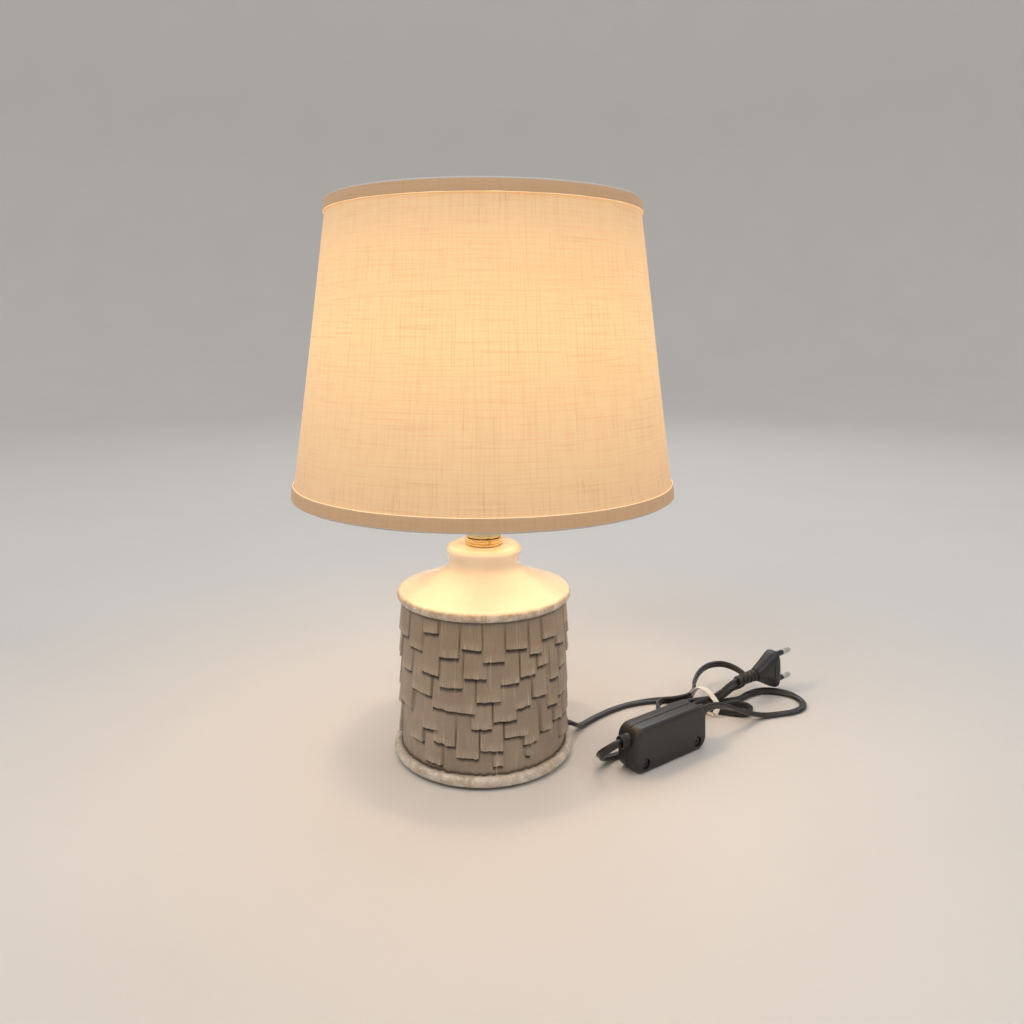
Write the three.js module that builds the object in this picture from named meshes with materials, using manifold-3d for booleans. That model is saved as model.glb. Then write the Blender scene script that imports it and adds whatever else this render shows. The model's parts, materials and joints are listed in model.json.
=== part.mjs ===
// Table lamp with a tapered fabric shade on a ceramic base, with its cord tied up beside it.
// Millimetres, +Z up. The origin is on the table, under the lamp's axis.
import * as THREE from "three";
import { mergeVertices } from "three/addons/utils/BufferGeometryUtils.js";
import Module from "manifold-3d";

const wasm = await Module();
wasm.setup();

// ---- Driving dimensions ----
const GAP = 0.3; // clearance between neighbouring pieces
const ROUND = 36; // facets round a large turned piece
const SMALL_ROUND = 14; // facets round a small turned piece

const PAD = { height: 1.2, radius: 3, circle: 54.5, count: 4 };
const FOOT_Z = PAD.height + 0.02;
const WALL_RADIUS = 54.9;
const SHOULDER_Z = 103; // height of the rolled shoulder rim
const NECK_TOP_Z = 134.3;
const NECK_SEAT_Z = 124; // underside of the neck, where the washer bears

const CORD_ANGLE = THREE.MathUtils.degToRad(12); // cord hole, measured from +X towards +Y
const CORD_HOLE = { z: 9.8, radius: 4 };
const CORD_RADIUS = 2.1; // a round stand-in for the flat twin cord
const LYING = 2.3; // height of the cord's centre where it lies on the table

const NIPPLE = { radius: 5, bore: 3.8, bottom: 110, top: 147 };
const NECK_RING_Z = NECK_TOP_Z + GAP;
const CAP_Z = 139.7;
const SHELL_Z = 160.3;
const SHELL_TOP_Z = 198;
const SHELL_RADIUS = 13.7;
const FITTER_Z = 186;
const FITTER_THICKNESS = 2;

const SHADE_BOTTOM = { z: 170, radius: 124.8 };
const SHADE_TOP = { z: 361, radius: 104.4 };
const TRIM_HEIGHT = 8.3;
const TRIM_THICKNESS = 0.9;
const COVER = { outer: 1.2, inner: 2.0 }; // distances in from the trims' outer face
const LINING = { outer: 2.3, inner: 2.8 };
const WIRE_RADIUS = 1.5;
const WIRE_INSET = LINING.inner + GAP + WIRE_RADIUS;

const BULB_TIP_Z = 169.6;
const BULB_CAP_Z = 173;
const BULB_CAP_TOP_Z = 191.7;
const BULB_GLOBE = { z: 224, radius: 22.5 };

const SWITCH = { x: 116.6, y: -15.4, heading: Math.atan2(0.6, 0.8), length: 66, height: 28, depth: 17 };
const SWITCH_WALL = 1.8;
const SWITCH_CORNER = 8;
const ROCKER = { length: 28, width: 14, tilt: THREE.MathUtils.degToRad(8), pivot: 5 };
const SLEEVE = { radius: 4.2, flange: 4.9, z: 6, inner: 27, outer: 38 };

const PLUG = { x: 218.9, y: 83.8, z: 18.5, heading: THREE.MathUtils.degToRad(36.5) };
const PLUG_BODY = { length: 23, halfWidth: 13.6, thickness: 13.4 };
const PIN = { radius: 2, length: 19, spacing: 19 };

const HANK = { start: [131, 43], end: [180, 54], halfWidth: 14, bottom: 0.2, top: 11.5 };

// ---- Materials ----
function material(color, roughness, metalness = 0, extra = {}) {
  return new THREE.MeshStandardMaterial({ color, roughness, metalness, ...extra });
}

const MATERIALS = {
  glaze: material(0xe9e4d8, 0.3),
  felt: material(0x6b6258, 0.95),
  blackPlastic: material(0x151515, 0.4),
  brass: material(0xb08a4a, 0.3, 1),
  steel: material(0xa9abad, 0.4, 1),
  porcelain: material(0xe6e3da, 0.35),
  nickel: material(0xc4c4c0, 0.25, 1),
  glass: material(0xfff3df, 0.3, 0, { transparent: true, opacity: 0.5 }),
  filament: material(0xffd9a0, 0.6),
  lining: material(0xf3ead8, 0.6),
  linen: material(0xe9d9bd, 0.9),
  trim: material(0xc2a27a, 0.85),
  wire: material(0xdad8d2, 0.4, 0.6),
  cord: material(0x111111, 0.45),
  tie: material(0xe8e4da, 0.5),
};

// ---- Geometry helpers ----
function latheZ(profile, segments = ROUND) {
  const points = profile.map(([radius, z]) => new THREE.Vector2(radius, z));
  const geometry = new THREE.LatheGeometry(points, segments);
  geometry.rotateX(Math.PI / 2);
  return geometry;
}

// A ring of revolution: its profile is closed on itself.
function ringZ(profile, segments = ROUND) {
  return latheZ([...profile, profile[0]], segments);
}

// A plain tube between two heights.
function tubeZ(inner, outer, bottom, top, segments = SMALL_ROUND) {
  return ringZ([[outer, bottom], [outer, top], [inner, top], [inner, bottom]], segments);
}

function cylinderZ(radius, bottom, top, segments = SMALL_ROUND) {
  return latheZ([[0, bottom], [radius, bottom], [radius, top], [0, top]], segments);
}

function cylinderX(radius, from, to, segments = SMALL_ROUND) {
  return cylinderZ(radius, from, to, segments).rotateY(Math.PI / 2);
}

function cylinderY(radius, from, to, segments = SMALL_ROUND) {
  return cylinderZ(radius, -to, -from, segments).rotateX(Math.PI / 2);
}

function torusZ(radius, tube, z, segments = ROUND, sides = 6) {
  const profile = [];
  for (let i = 0; i < sides; i += 1) {
    const angle = (2 * Math.PI * i) / sides;
    profile.push([radius + tube * Math.cos(angle), z + tube * Math.sin(angle)]);
  }
  return ringZ(profile, segments);
}

function box(x, y, z) {
  return new THREE.BoxGeometry(x, y, z);
}

function roundedRectangle(width, height, corner) {
  const x = width / 2 - corner;
  const y = height / 2 - corner;
  const shape = new THREE.Shape();
  shape.absarc(x, y, corner, 0, Math.PI / 2);
  shape.absarc(-x, y, corner, Math.PI / 2, Math.PI);
  shape.absarc(-x, -y, corner, Math.PI, 1.5 * Math.PI);
  shape.absarc(x, -y, corner, 1.5 * Math.PI, 2 * Math.PI);
  shape.closePath();
  return shape;
}

// A flat shape in X and Z, given thickness along Y from one value to another.
function slabY(shape, from, to, curveSegments = 4) {
  const geometry = new THREE.ExtrudeGeometry(shape, {
    depth: to - from,
    bevelEnabled: false,
    curveSegments,
  });
  geometry.rotateX(Math.PI / 2);
  geometry.translate(0, to, 0);
  return geometry;
}

function ellipseShape(halfX, halfY, sides) {
  const shape = new THREE.Shape();
  for (let i = 0; i < sides; i += 1) {
    const angle = (2 * Math.PI * (i + 0.5)) / sides;
    const move = i === 0 ? "moveTo" : "lineTo";
    shape[move](halfX * Math.cos(angle), halfY * Math.sin(angle));
  }
  shape.closePath();
  return shape;
}

// A section swept along a smooth curve through the points.
function sweep(points, halfThickness, halfWidth, steps, sides = 8) {
  const curve = new THREE.CatmullRomCurve3(points.map((p) => new THREE.Vector3(...p)));
  return new THREE.ExtrudeGeometry(ellipseShape(halfThickness, halfWidth, sides), {
    steps,
    extrudePath: curve,
  });
}

function cordGeometry(points, steps) {
  return sweep(points, CORD_RADIUS, CORD_RADIUS, steps);
}

function solid(geometry) {
  const bare = geometry.clone();
  bare.deleteAttribute("normal");
  bare.deleteAttribute("uv");
  const merged = mergeVertices(bare, 1e-3);
  const mesh = new wasm.Mesh({
    numProp: 3,
    vertProperties: new Float32Array(merged.attributes.position.array),
    triVerts: new Uint32Array(merged.index.array),
  });
  return new wasm.Manifold(mesh);
}

function geometryOf(manifold) {
  const mesh = manifold.getMesh();
  const geometry = new THREE.BufferGeometry();
  geometry.setAttribute("position", new THREE.BufferAttribute(mesh.vertProperties, mesh.numProp));
  geometry.setIndex(new THREE.BufferAttribute(mesh.triVerts, 1));
  geometry.computeVertexNormals();
  return geometry;
}

function cut(geometry, ...tools) {
  const result = tools.reduce((body, tool) => body.subtract(solid(tool)), solid(geometry));
  return geometryOf(result);
}

function join(geometry, ...others) {
  const result = others.reduce((body, other) => body.add(solid(other)), solid(geometry));
  return geometryOf(result);
}

function piece(name, geometry, slot) {
  const mesh = new THREE.Mesh(geometry, MATERIALS[slot]);
  mesh.name = name;
  return mesh;
}

// ---- Ceramic base ----
function baseProfile() {
  const wallTop = SHOULDER_Z - 5;
  return [
    [51, FOOT_Z], [56.4, FOOT_Z], [58.2, 2.6], [58.9, 4.6], [58.2, 6.8], [56.4, 8.2],
    [WALL_RADIUS, 9], [WALL_RADIUS, wallTop],
    [56.6, SHOULDER_Z - 2.6], [57.4, SHOULDER_Z], [56.6, SHOULDER_Z + 2.4], [54.2, SHOULDER_Z + 3.4],
    [42, 111], [30, 116.6], [24.4, 120.4], [22.7, 123.6], [25.1, 130.4], [25.1, 132.2], [22.6, NECK_TOP_Z],
    [5.7, NECK_TOP_Z], [5.7, NECK_SEAT_Z], [16.5, NECK_SEAT_Z], [16.5, 117], [30, 110.4], [44, 104.2],
    [49.6, 97], [49.8, 9], [51, 6],
  ];
}

function makeBase(group) {
  const hole = cylinderX(CORD_HOLE.radius + GAP, 40, 62, 16);
  hole.translate(0, 0, CORD_HOLE.z);
  hole.rotateZ(CORD_ANGLE);
  group.add(piece("ceramic_base", cut(ringZ(baseProfile()), hole), "glaze"));

  for (let i = 0; i < PAD.count; i += 1) {
    const angle = Math.PI / 4 + (2 * Math.PI * i) / PAD.count;
    const pad = piece(`foot_pad_${i + 1}`, cylinderZ(PAD.radius, 0, PAD.height - 0.28, 16), "felt");
    pad.position.set(PAD.circle * Math.cos(angle), PAD.circle * Math.sin(angle), 0);
    group.add(pad);
  }

  const grommet = ringZ([
    [2.9, 47.6], [5.2, 47.6], [5.2, 48.9], [CORD_HOLE.radius, 49.2],
    [CORD_HOLE.radius, 55.9], [3.6, 56.5], [2.9, 56.5],
  ], 16);
  grommet.rotateY(Math.PI / 2);
  grommet.translate(0, 0, CORD_HOLE.z);
  grommet.rotateZ(CORD_ANGLE);
  group.add(piece("cord_grommet", grommet, "blackPlastic"));
}

function makeInnerLead(group) {
  const c = Math.cos(CORD_ANGLE);
  const s = Math.sin(CORD_ANGLE);
  const route = [
    [47 * c, 47 * s, CORD_HOLE.z], [40 * c, 40 * s, CORD_HOLE.z + 1], [30 * c, 30 * s, 18],
    [20 * c, 20 * s, 38], [10 * c, 10 * s, 66], [3 * c, 3 * s, 92], [0, 0, 106], [0, 0, 125], [0, 0, 149],
  ];
  group.add(piece("inner_lead", sweep(route, 1.4, 2.4, 24), "cord"));
}

function makeNeckHardware(group) {
  const { radius, bore, bottom, top } = NIPPLE;
  const washer = tubeZ(radius + GAP, 13, NECK_SEAT_Z - 1.8, NECK_SEAT_Z - GAP);
  const nut = latheZ([[0, 116.4], [8.1, 116.4], [8.1, 121.8], [0, 121.8]], 6);
  const nutHole = cylinderZ(radius + GAP, 110, 130);
  group.add(piece("threaded_nipple", tubeZ(bore, radius, bottom, top), "steel"));
  group.add(piece("lower_washer", washer, "steel"));
  group.add(piece("lower_nut", cut(nut, nutHole), "steel"));
  const z = NECK_RING_Z;
  const ridges = ringZ([
    [radius + GAP, z], [11.6, z], [12.3, z + 1], [11.6, z + 2], [12.3, z + 3], [11.2, z + 4.6],
    [radius + GAP, z + 4.6],
  ], 24);
  group.add(piece("neck_ring", ridges, "brass"));
}

// ---- Lampholder ----
function makeHolder(group) {
  const capRadius = 11.8;
  const cap = ringZ([
    [NIPPLE.radius + GAP, CAP_Z], [capRadius, CAP_Z], [12.2, CAP_Z + 1], [12.2, 152], [13.6, 155], [13.6, 160],
    [12.4, 160], [12.4, 155.6], [11, 152.4], [11, CAP_Z + 1.6], [NIPPLE.radius + GAP, CAP_Z + 1.6],
  ], 24);
  group.add(piece("holder_cap", cap, "brass"));
  const shell = tubeZ(12.5, SHELL_RADIUS, SHELL_Z, SHELL_TOP_Z, 24);
  group.add(piece("holder_shell", shell, "blackPlastic"));

  const insertHoles = [cylinderZ(1.8, 150, 168, 12), cylinderZ(1.8, 150, 168, 12)];
  insertHoles[0].translate(7.5, 0, 0);
  insertHoles[1].translate(-7.5, 0, 0);
  const insert = cut(cylinderZ(12, 156.5, 165.5, 32), ...insertHoles);
  group.add(piece("holder_insert", insert, "porcelain"));
  [1, -1].forEach((side, index) => {
    const screw = join(cylinderZ(1.4, 157, 166.4, 12), cylinderZ(2.4, 165.8, 167.4, 12));
    screw.translate(side * 7.5, 0, 0);
    group.add(piece(`terminal_screw_${index + 1}`, screw, "brass"));
  });
  const sleeve = tubeZ(7.7, 8.3, 168, 192);
  group.add(piece("screw_sleeve", sleeve, "brass"));
  const tongue = join(
    box(3, 5, 0.7).translate(0, 1, 166.3),
    box(3, 0.7, 2.4).translate(0, -1.3, 167.5),
    box(3, 3.4, 0.7).translate(0, 0, 168.6),
  );
  group.add(piece("centre_contact", tongue, "brass"));
}

// A threaded ring with finger scallops round its edge.
function shadeRing(bottom) {
  const scallops = [];
  const count = 10;
  for (let i = 0; i < count; i += 1) {
    const scallop = cylinderZ(2.4, bottom - 1, bottom + 6, 6);
    const angle = (2 * Math.PI * i) / count;
    scallops.push(scallop.translate(21.3 * Math.cos(angle), 21.3 * Math.sin(angle), 0));
  }
  return cut(tubeZ(SHELL_RADIUS + GAP, 20, bottom, bottom + 4.2, 30), ...scallops);
}

function makeShadeRings(group) {
  const upper = FITTER_Z + FITTER_THICKNESS + GAP;
  group.add(piece("shade_ring_lower", shadeRing(FITTER_Z - GAP - 4.2), "blackPlastic"));
  group.add(piece("shade_ring_upper", shadeRing(upper), "blackPlastic"));
}

// ---- Bulb ----
function bulbGlassProfile() {
  const { z, radius } = BULB_GLOBE;
  const outer = [[6.5, BULB_CAP_TOP_Z + GAP], [7.6, 195], [9.6, 199.4]];
  for (let degrees = -50; degrees < 89; degrees += 20) {
    const angle = THREE.MathUtils.degToRad(degrees);
    outer.push([radius * Math.cos(angle), z + radius * Math.sin(angle)]);
  }
  outer.push([0, z + radius]);
  const wall = 0.9;
  const inner = [[0, z + radius - wall]];
  for (let degrees = 70; degrees > -51; degrees -= 20) {
    const angle = THREE.MathUtils.degToRad(degrees);
    inner.push([(radius - wall) * Math.cos(angle), z + (radius - wall) * Math.sin(angle)]);
  }
  inner.push([8.7, 199.8], [6.7, 195.2], [5.6, BULB_CAP_TOP_Z + GAP]);
  return [...outer, ...inner, outer[0]];
}

function makeBulb(group) {
  const tip = latheZ([[0, BULB_TIP_Z], [2.2, BULB_TIP_Z + 0.2], [2.6, 170.6], [2.6, 171.2], [0, 171.2]], SMALL_ROUND);
  group.add(piece("bulb_tip_contact", tip, "nickel"));
  const insulator = latheZ([[0, 171.5], [3.4, 171.5], [4.8, 172.7], [0, 172.7]], SMALL_ROUND);
  group.add(piece("bulb_insulator", insulator, "blackPlastic"));
  const thread = [[4.9, BULB_CAP_Z]];
  for (let turn = 0; turn < 5; turn += 1) {
    thread.push([6.3, BULB_CAP_Z + 1.6 + turn * 2.82], [6.95, BULB_CAP_Z + 3.0 + turn * 2.82]);
  }
  thread.push([6.4, BULB_CAP_Z + 15.8], [6.6, BULB_CAP_TOP_Z]);
  const cap = ringZ([...thread, [5.4, BULB_CAP_TOP_Z], [5.4, BULB_CAP_Z + 2], [3.9, BULB_CAP_Z]], SMALL_ROUND);
  group.add(piece("bulb_cap", cap, "nickel"));
  group.add(piece("bulb_glass", latheZ(bulbGlassProfile(), 20), "glass"));
  const stem = latheZ([[0, 182], [4.4, 182], [4.2, 192], [2.2, 200], [1.3, 210], [1.3, 236], [0, 237]], 12);
  group.add(piece("bulb_stem", stem, "glass"));
  const turns = [];
  for (let i = 0; i <= 24; i += 1) {
    const angle = (2 * Math.PI * 1.5 * i) / 24;
    turns.push([9 * Math.cos(angle), 9 * Math.sin(angle), 212 + (22 * i) / 24]);
  }
  group.add(piece("bulb_filament", sweep(turns, 0.9, 0.9, 30, 6), "filament"));
}

// ---- Shade ----
function shadeRadius(z, inset) {
  const share = (z - SHADE_BOTTOM.z) / (SHADE_TOP.z - SHADE_BOTTOM.z);
  return SHADE_BOTTOM.radius + share * (SHADE_TOP.radius - SHADE_BOTTOM.radius) - inset;
}

// A conical wall between two heights and two insets from the outer face.
function shadeWall(layer, bottom, top) {
  return ringZ([
    [shadeRadius(bottom, layer.outer), bottom], [shadeRadius(top, layer.outer), top],
    [shadeRadius(top, layer.inner), top], [shadeRadius(bottom, layer.inner), bottom],
  ]);
}

// An edging tape: a band outside the cover, and a lip over the edge. inward is +1 at the bottom edge.
function trim(edge, inward) {
  const far = edge + inward * TRIM_HEIGHT;
  const near = edge + inward * TRIM_THICKNESS;
  const lip = WIRE_INSET + WIRE_RADIUS;
  const profile = [
    [shadeRadius(edge, 0), edge], [shadeRadius(far, 0), far],
    [shadeRadius(far, TRIM_THICKNESS), far], [shadeRadius(near, TRIM_THICKNESS), near],
    [shadeRadius(near, lip), near], [shadeRadius(edge, lip), edge],
  ];
  return ringZ(inward > 0 ? profile : profile.reverse());
}

function makeShade(group) {
  const bottom = SHADE_BOTTOM.z + TRIM_THICKNESS + GAP;
  const top = SHADE_TOP.z - TRIM_THICKNESS - GAP;
  group.add(piece("shade_cover", shadeWall(COVER, bottom, top), "linen"));
  group.add(piece("shade_lining", shadeWall(LINING, bottom, top), "lining"));
  group.add(piece("top_trim", trim(SHADE_TOP.z, -1), "trim"));
  group.add(piece("bottom_trim", trim(SHADE_BOTTOM.z, 1), "trim"));

  const lowWire = bottom + WIRE_RADIUS;
  const highWire = top - WIRE_RADIUS;
  const lowWireRadius = shadeRadius(lowWire, WIRE_INSET);
  group.add(piece("top_wire_ring", torusZ(shadeRadius(highWire, WIRE_INSET), WIRE_RADIUS, highWire), "wire"));
  group.add(piece("bottom_wire_ring", torusZ(lowWireRadius, WIRE_RADIUS, lowWire), "wire"));
  group.add(piece("fitter_ring", tubeZ(14.3, 21.5, FITTER_Z, FITTER_Z + FITTER_THICKNESS, ROUND), "wire"));

  const armZ = FITTER_Z + 1;
  const armEnd = lowWireRadius - WIRE_RADIUS - GAP;
  for (let i = 0; i < 3; i += 1) {
    const arm = piece(`spider_arm_${i + 1}`, sweep([
      [21.5 + GAP, 0, armZ], [50, 0, armZ], [84, 0, armZ - 1], [102, 0, armZ - 5.5],
      [112, 0, lowWire + 2.6], [armEnd, 0, lowWire],
    ], WIRE_RADIUS, WIRE_RADIUS, 12), "wire");
    arm.rotation.z = Math.PI / 2 + (2 * Math.PI * i) / 3;
    group.add(arm);
  }
}

// ---- Inline switch: X along it, Y out of the rocker's face, Z up ----
function makeSwitch(group) {
  const half = SWITCH.depth / 2;
  const outline = roundedRectangle(SWITCH.length, SWITCH.height, SWITCH_CORNER);
  const hollow = roundedRectangle(
    SWITCH.length - 2 * SWITCH_WALL, SWITCH.height - 2 * SWITCH_WALL, SWITCH_CORNER - SWITCH_WALL);
  const sleeveBore = cylinderX(SLEEVE.radius + GAP, -40, 40, 20).translate(0, 0, SLEEVE.z);
  const screwHoles = [-24, 24].map((x) => cylinderY(1.9, -9, 9, 10).translate(x, 0, -8));
  const headHoles = [-24, 24].map((x) => cylinderY(3.2, -9, -half + 1.6, 10).translate(x, 0, -8));
  const posts = [-24, 24].map((x) => cylinderY(3.8, -half + 1, -GAP / 2, 10).translate(x, 0, -8));
  const backPosts = [-24, 24].map((x) => cylinderY(3.8, GAP / 2, half - 1, 10).translate(x, 0, -8));
  const pocket = slabY(hollow, -half + SWITCH_WALL, half - SWITCH_WALL);
  const window = box(ROCKER.length + 2.6, 12, ROCKER.width + 1).translate(0, half, 0);

  const front = cut(
    join(cut(slabY(outline, -half, -GAP / 2), pocket), ...posts), sleeveBore, ...screwHoles, ...headHoles);
  const blindHoles = [-24, 24].map((x) => cylinderY(1.9, -1, 6, 10).translate(x, 0, -8));
  const rear = cut(
    join(cut(slabY(outline, GAP / 2, half), pocket), ...backPosts), sleeveBore, window, ...blindHoles);
  group.add(piece("switch_front_shell", front, "blackPlastic"));
  group.add(piece("switch_rear_shell", rear, "blackPlastic"));
  [-24, 24].forEach((x, index) => {
    const screw = join(cylinderY(1.5, -half + 0.6, 5, 10), cylinderY(2.8, -half + 0.2, -half + 1.3, 12));
    screw.translate(x, 0, -8);
    group.add(piece(`switch_screw_${index + 1}`, screw, "steel"));
  });

  const rockerOutline = new THREE.Shape();
  const r = ROCKER.length / 2;
  rockerOutline.moveTo(-r, 5.6);
  rockerOutline.quadraticCurveTo(0, 3.8, r, 5.6);
  rockerOutline.lineTo(r, -0.4);
  rockerOutline.lineTo(3.6, -2.6);
  rockerOutline.lineTo(-3.6, -2.6);
  rockerOutline.lineTo(-r, -0.4);
  rockerOutline.closePath();
  const rockerSolid = new THREE.ExtrudeGeometry(rockerOutline, {
    depth: ROCKER.width, bevelEnabled: false, curveSegments: 8,
  }).translate(0, 0, -ROCKER.width / 2);
  const rocker = piece("switch_rocker", cut(rockerSolid, cylinderZ(1.5, -9, 9, 16)), "blackPlastic");
  rocker.position.set(0, ROCKER.pivot, 0);
  rocker.rotation.z = ROCKER.tilt;
  group.add(rocker);
  const pin = piece("rocker_pin", cylinderZ(1.2, -10, 10, 16), "steel");
  pin.position.set(0, ROCKER.pivot, 0);
  group.add(pin);

  const bridge = piece("moving_contact", box(14, 0.8, 4).translate(0, -3.3, -1), "brass");
  bridge.position.set(0, ROCKER.pivot, 0);
  bridge.rotation.z = ROCKER.tilt;
  group.add(bridge);
  [-1, 1].forEach((side, index) => {
    const block = box(8, 5, 7).translate(side * 15, -3.6, -1);
    group.add(piece(`contact_block_${index + 1}`, block, "brass"));
  });
  [["left", -1], ["right", 1]].forEach(([side, sign]) => {
    const profile = [
      [2.9, SLEEVE.inner], [SLEEVE.flange, SLEEVE.inner], [SLEEVE.flange, SLEEVE.inner + 1.2],
      [SLEEVE.radius, SLEEVE.inner + 1.4],
      [SLEEVE.radius, SLEEVE.outer - 0.6], [SLEEVE.radius - 0.6, SLEEVE.outer], [2.9, SLEEVE.outer],
    ];
    const sleeve = piece(`cord_sleeve_${side}`, ringZ(profile, 14).rotateY(Math.PI / 2), "blackPlastic");
    sleeve.position.z = SLEEVE.z;
    sleeve.rotation.z = sign > 0 ? 0 : Math.PI;
    group.add(sleeve);
  });
}

// ---- Plug: X towards the pins, Z across the pins; the pins' face is at X = 0 ----
function makePlug(group) {
  const { length, halfWidth, thickness } = PLUG_BODY;
  const outline = new THREE.Shape();
  outline.moveTo(0, -halfWidth + 1);
  outline.lineTo(0, halfWidth - 1);
  outline.quadraticCurveTo(-1.5, halfWidth, -4, halfWidth - 0.6);
  outline.quadraticCurveTo(-14, halfWidth - 4, -length, 4);
  outline.lineTo(-length, -4);
  outline.quadraticCurveTo(-14, -halfWidth + 4, -4, -halfWidth + 0.6);
  outline.quadraticCurveTo(-1.5, -halfWidth, 0, -halfWidth + 1);
  const flat = slabY(outline, -thickness / 2, thickness / 2, 4);
  const relief = [[0, -length - 21], [3.2, -length - 21]];
  for (let i = 0; i < 5; i += 1) {
    const x = -length - 20 + i * 4;
    const rib = 3.6 + i * 0.15;
    relief.push([rib, x + 0.4], [rib, x + 2], [rib - 0.7, x + 2.4], [rib - 0.7, x + 3.6]);
  }
  relief.push([4.2, -length + 2], [0, -length + 2]);
  const holes = [-1, 1].map((side) => (
    cylinderX(PIN.radius + GAP, -12, 2, 12).translate(0, 0, (side * PIN.spacing) / 2)));
  const body = cut(join(flat, latheZ(relief, 12).rotateY(Math.PI / 2)), ...holes);
  group.add(piece("plug_body", body, "blackPlastic"));
  [-1, 1].forEach((side, index) => {
    const profile = [[0, -10], [PIN.radius, -10], [PIN.radius, PIN.length - 1.2], [1.1, PIN.length], [0, PIN.length]];
    const pin = piece(`plug_pin_${index + 1}`, latheZ(profile, 16).rotateY(Math.PI / 2), "nickel");
    pin.position.z = (side * PIN.spacing) / 2;
    group.add(pin);
  });
}

// ---- The flat twin cord, laid on the table ----
const BASE_LEAD = [
  [55.6, 11.8, 9.8], [60.5, 12.9, 9.9], [65.5, 16.5, 8.8], [70, 22, 6.4], [75.5, 30, 3.8], [82, 39, LYING],
  [91, 49, LYING], [103, 57, LYING], [116, 62, LYING], [128, 63.8, 2.8], [138.8, 62.2, 4],
];
const SUPPLY_LOOP = [
  [188.8, 67.8, 2.8], [197, 74.5, LYING], [207, 79, LYING], [218, 78.5, LYING], [228, 73.5, LYING],
  [233, 63.5, LYING], [230, 53, LYING], [221, 46, LYING], [210, 42.5, LYING], [199, 39, 2.8],
  [188.5, 34.5, 5.4], [178, 28.5, 10.5], [168.5, 22.5, 15.8], [160, 16.9, 19], [153.5, 12.2, 20], [147.5, 7.7, 20],
];
const SWITCH_LEAD = [
  [85.8, -38.5, 20], [81.5, -41.4, 19.4], [76.6, -41.6, 16.4], [73.6, -37.6, 11.8], [74.4, -30.8, 7.2],
  [79.4, -23.6, 3.8], [87, -16.4, LYING], [97, -7.6, LYING], [107, 1.8, LYING], [115, 12, LYING],
  [118, 23, LYING], [118, 33, 2.8],
];
const RING_LOOP = [
  [153.8, 66, 8], [156.6, 77, 10.2], [163, 88, 13.4], [172, 95, 15.6], [182.5, 96.6, 16], [192, 92.5, 14],
  [197.4, 84.5, 11], [192.5, 76.6, 9.2], [183.6, 71, 8.3],
];
const PLUG_LEAD = [[163.5, 54.6, 14.2], [169, 52.4, 14.6], [176.4, 52.9, 16.6], [182.7, 57, 18.4]];

function makeCord(group) {
  group.add(piece("base_lead", cordGeometry(BASE_LEAD, 20), "cord"));
  group.add(piece("supply_loop", cordGeometry(SUPPLY_LOOP, 28), "cord"));
  group.add(piece("switch_lead", cordGeometry(SWITCH_LEAD, 22), "cord"));
  group.add(piece("ring_loop", cordGeometry(RING_LOOP, 18), "cord"));
  group.add(piece("plug_lead", cordGeometry(PLUG_LEAD, 4), "cord"));

  const [x0, y0] = HANK.start;
  const [x1, y1] = HANK.end;
  const run = Math.hypot(x1 - x0, y1 - y0);
  const hank = new THREE.Group();
  hank.position.set((x0 + x1) / 2, (y0 + y1) / 2, 0);
  hank.rotation.z = Math.atan2(y1 - y0, x1 - x0);
  const outline = roundedRectangle(run + 2 * HANK.halfWidth, 2 * HANK.halfWidth, HANK.halfWidth - 0.01);
  const bundle = new THREE.ExtrudeGeometry(outline, {
    depth: HANK.top - HANK.bottom, bevelEnabled: false, curveSegments: 8,
  }).translate(0, 0, HANK.bottom);
  hank.add(piece("tied_hank", bundle, "cord"));

  const outside = box(2.4, 2 * HANK.halfWidth + 2.6, 13).translate(0, 0, 6.7);
  const inside = box(4, 2 * HANK.halfWidth + 0.6, 13).translate(0, 0, HANK.top + GAP - 6.5);
  hank.add(piece("cord_tie", cut(outside, inside), "tie"));
  group.add(hank);
}

// ---- The whole lamp ----
const lamp = new THREE.Group();
makeBase(lamp);
makeInnerLead(lamp);
makeNeckHardware(lamp);
makeHolder(lamp);
makeShadeRings(lamp);
makeBulb(lamp);
makeShade(lamp);
makeCord(lamp);

const inlineSwitch = new THREE.Group();
inlineSwitch.position.set(SWITCH.x, SWITCH.y, SWITCH.height / 2);
inlineSwitch.rotation.z = SWITCH.heading;
makeSwitch(inlineSwitch);
lamp.add(inlineSwitch);

const plug = new THREE.Group();
plug.position.set(PLUG.x, PLUG.y, PLUG.z);
plug.rotation.z = PLUG.heading;
makePlug(plug);
lamp.add(plug);

export default lamp;
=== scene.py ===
"""Looks of the table lamp: every visible piece is made here, in millimetres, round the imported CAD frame."""
import json
import math
import random

import bmesh
import bpy
import numpy as np
from mathutils import Matrix, Vector


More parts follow.
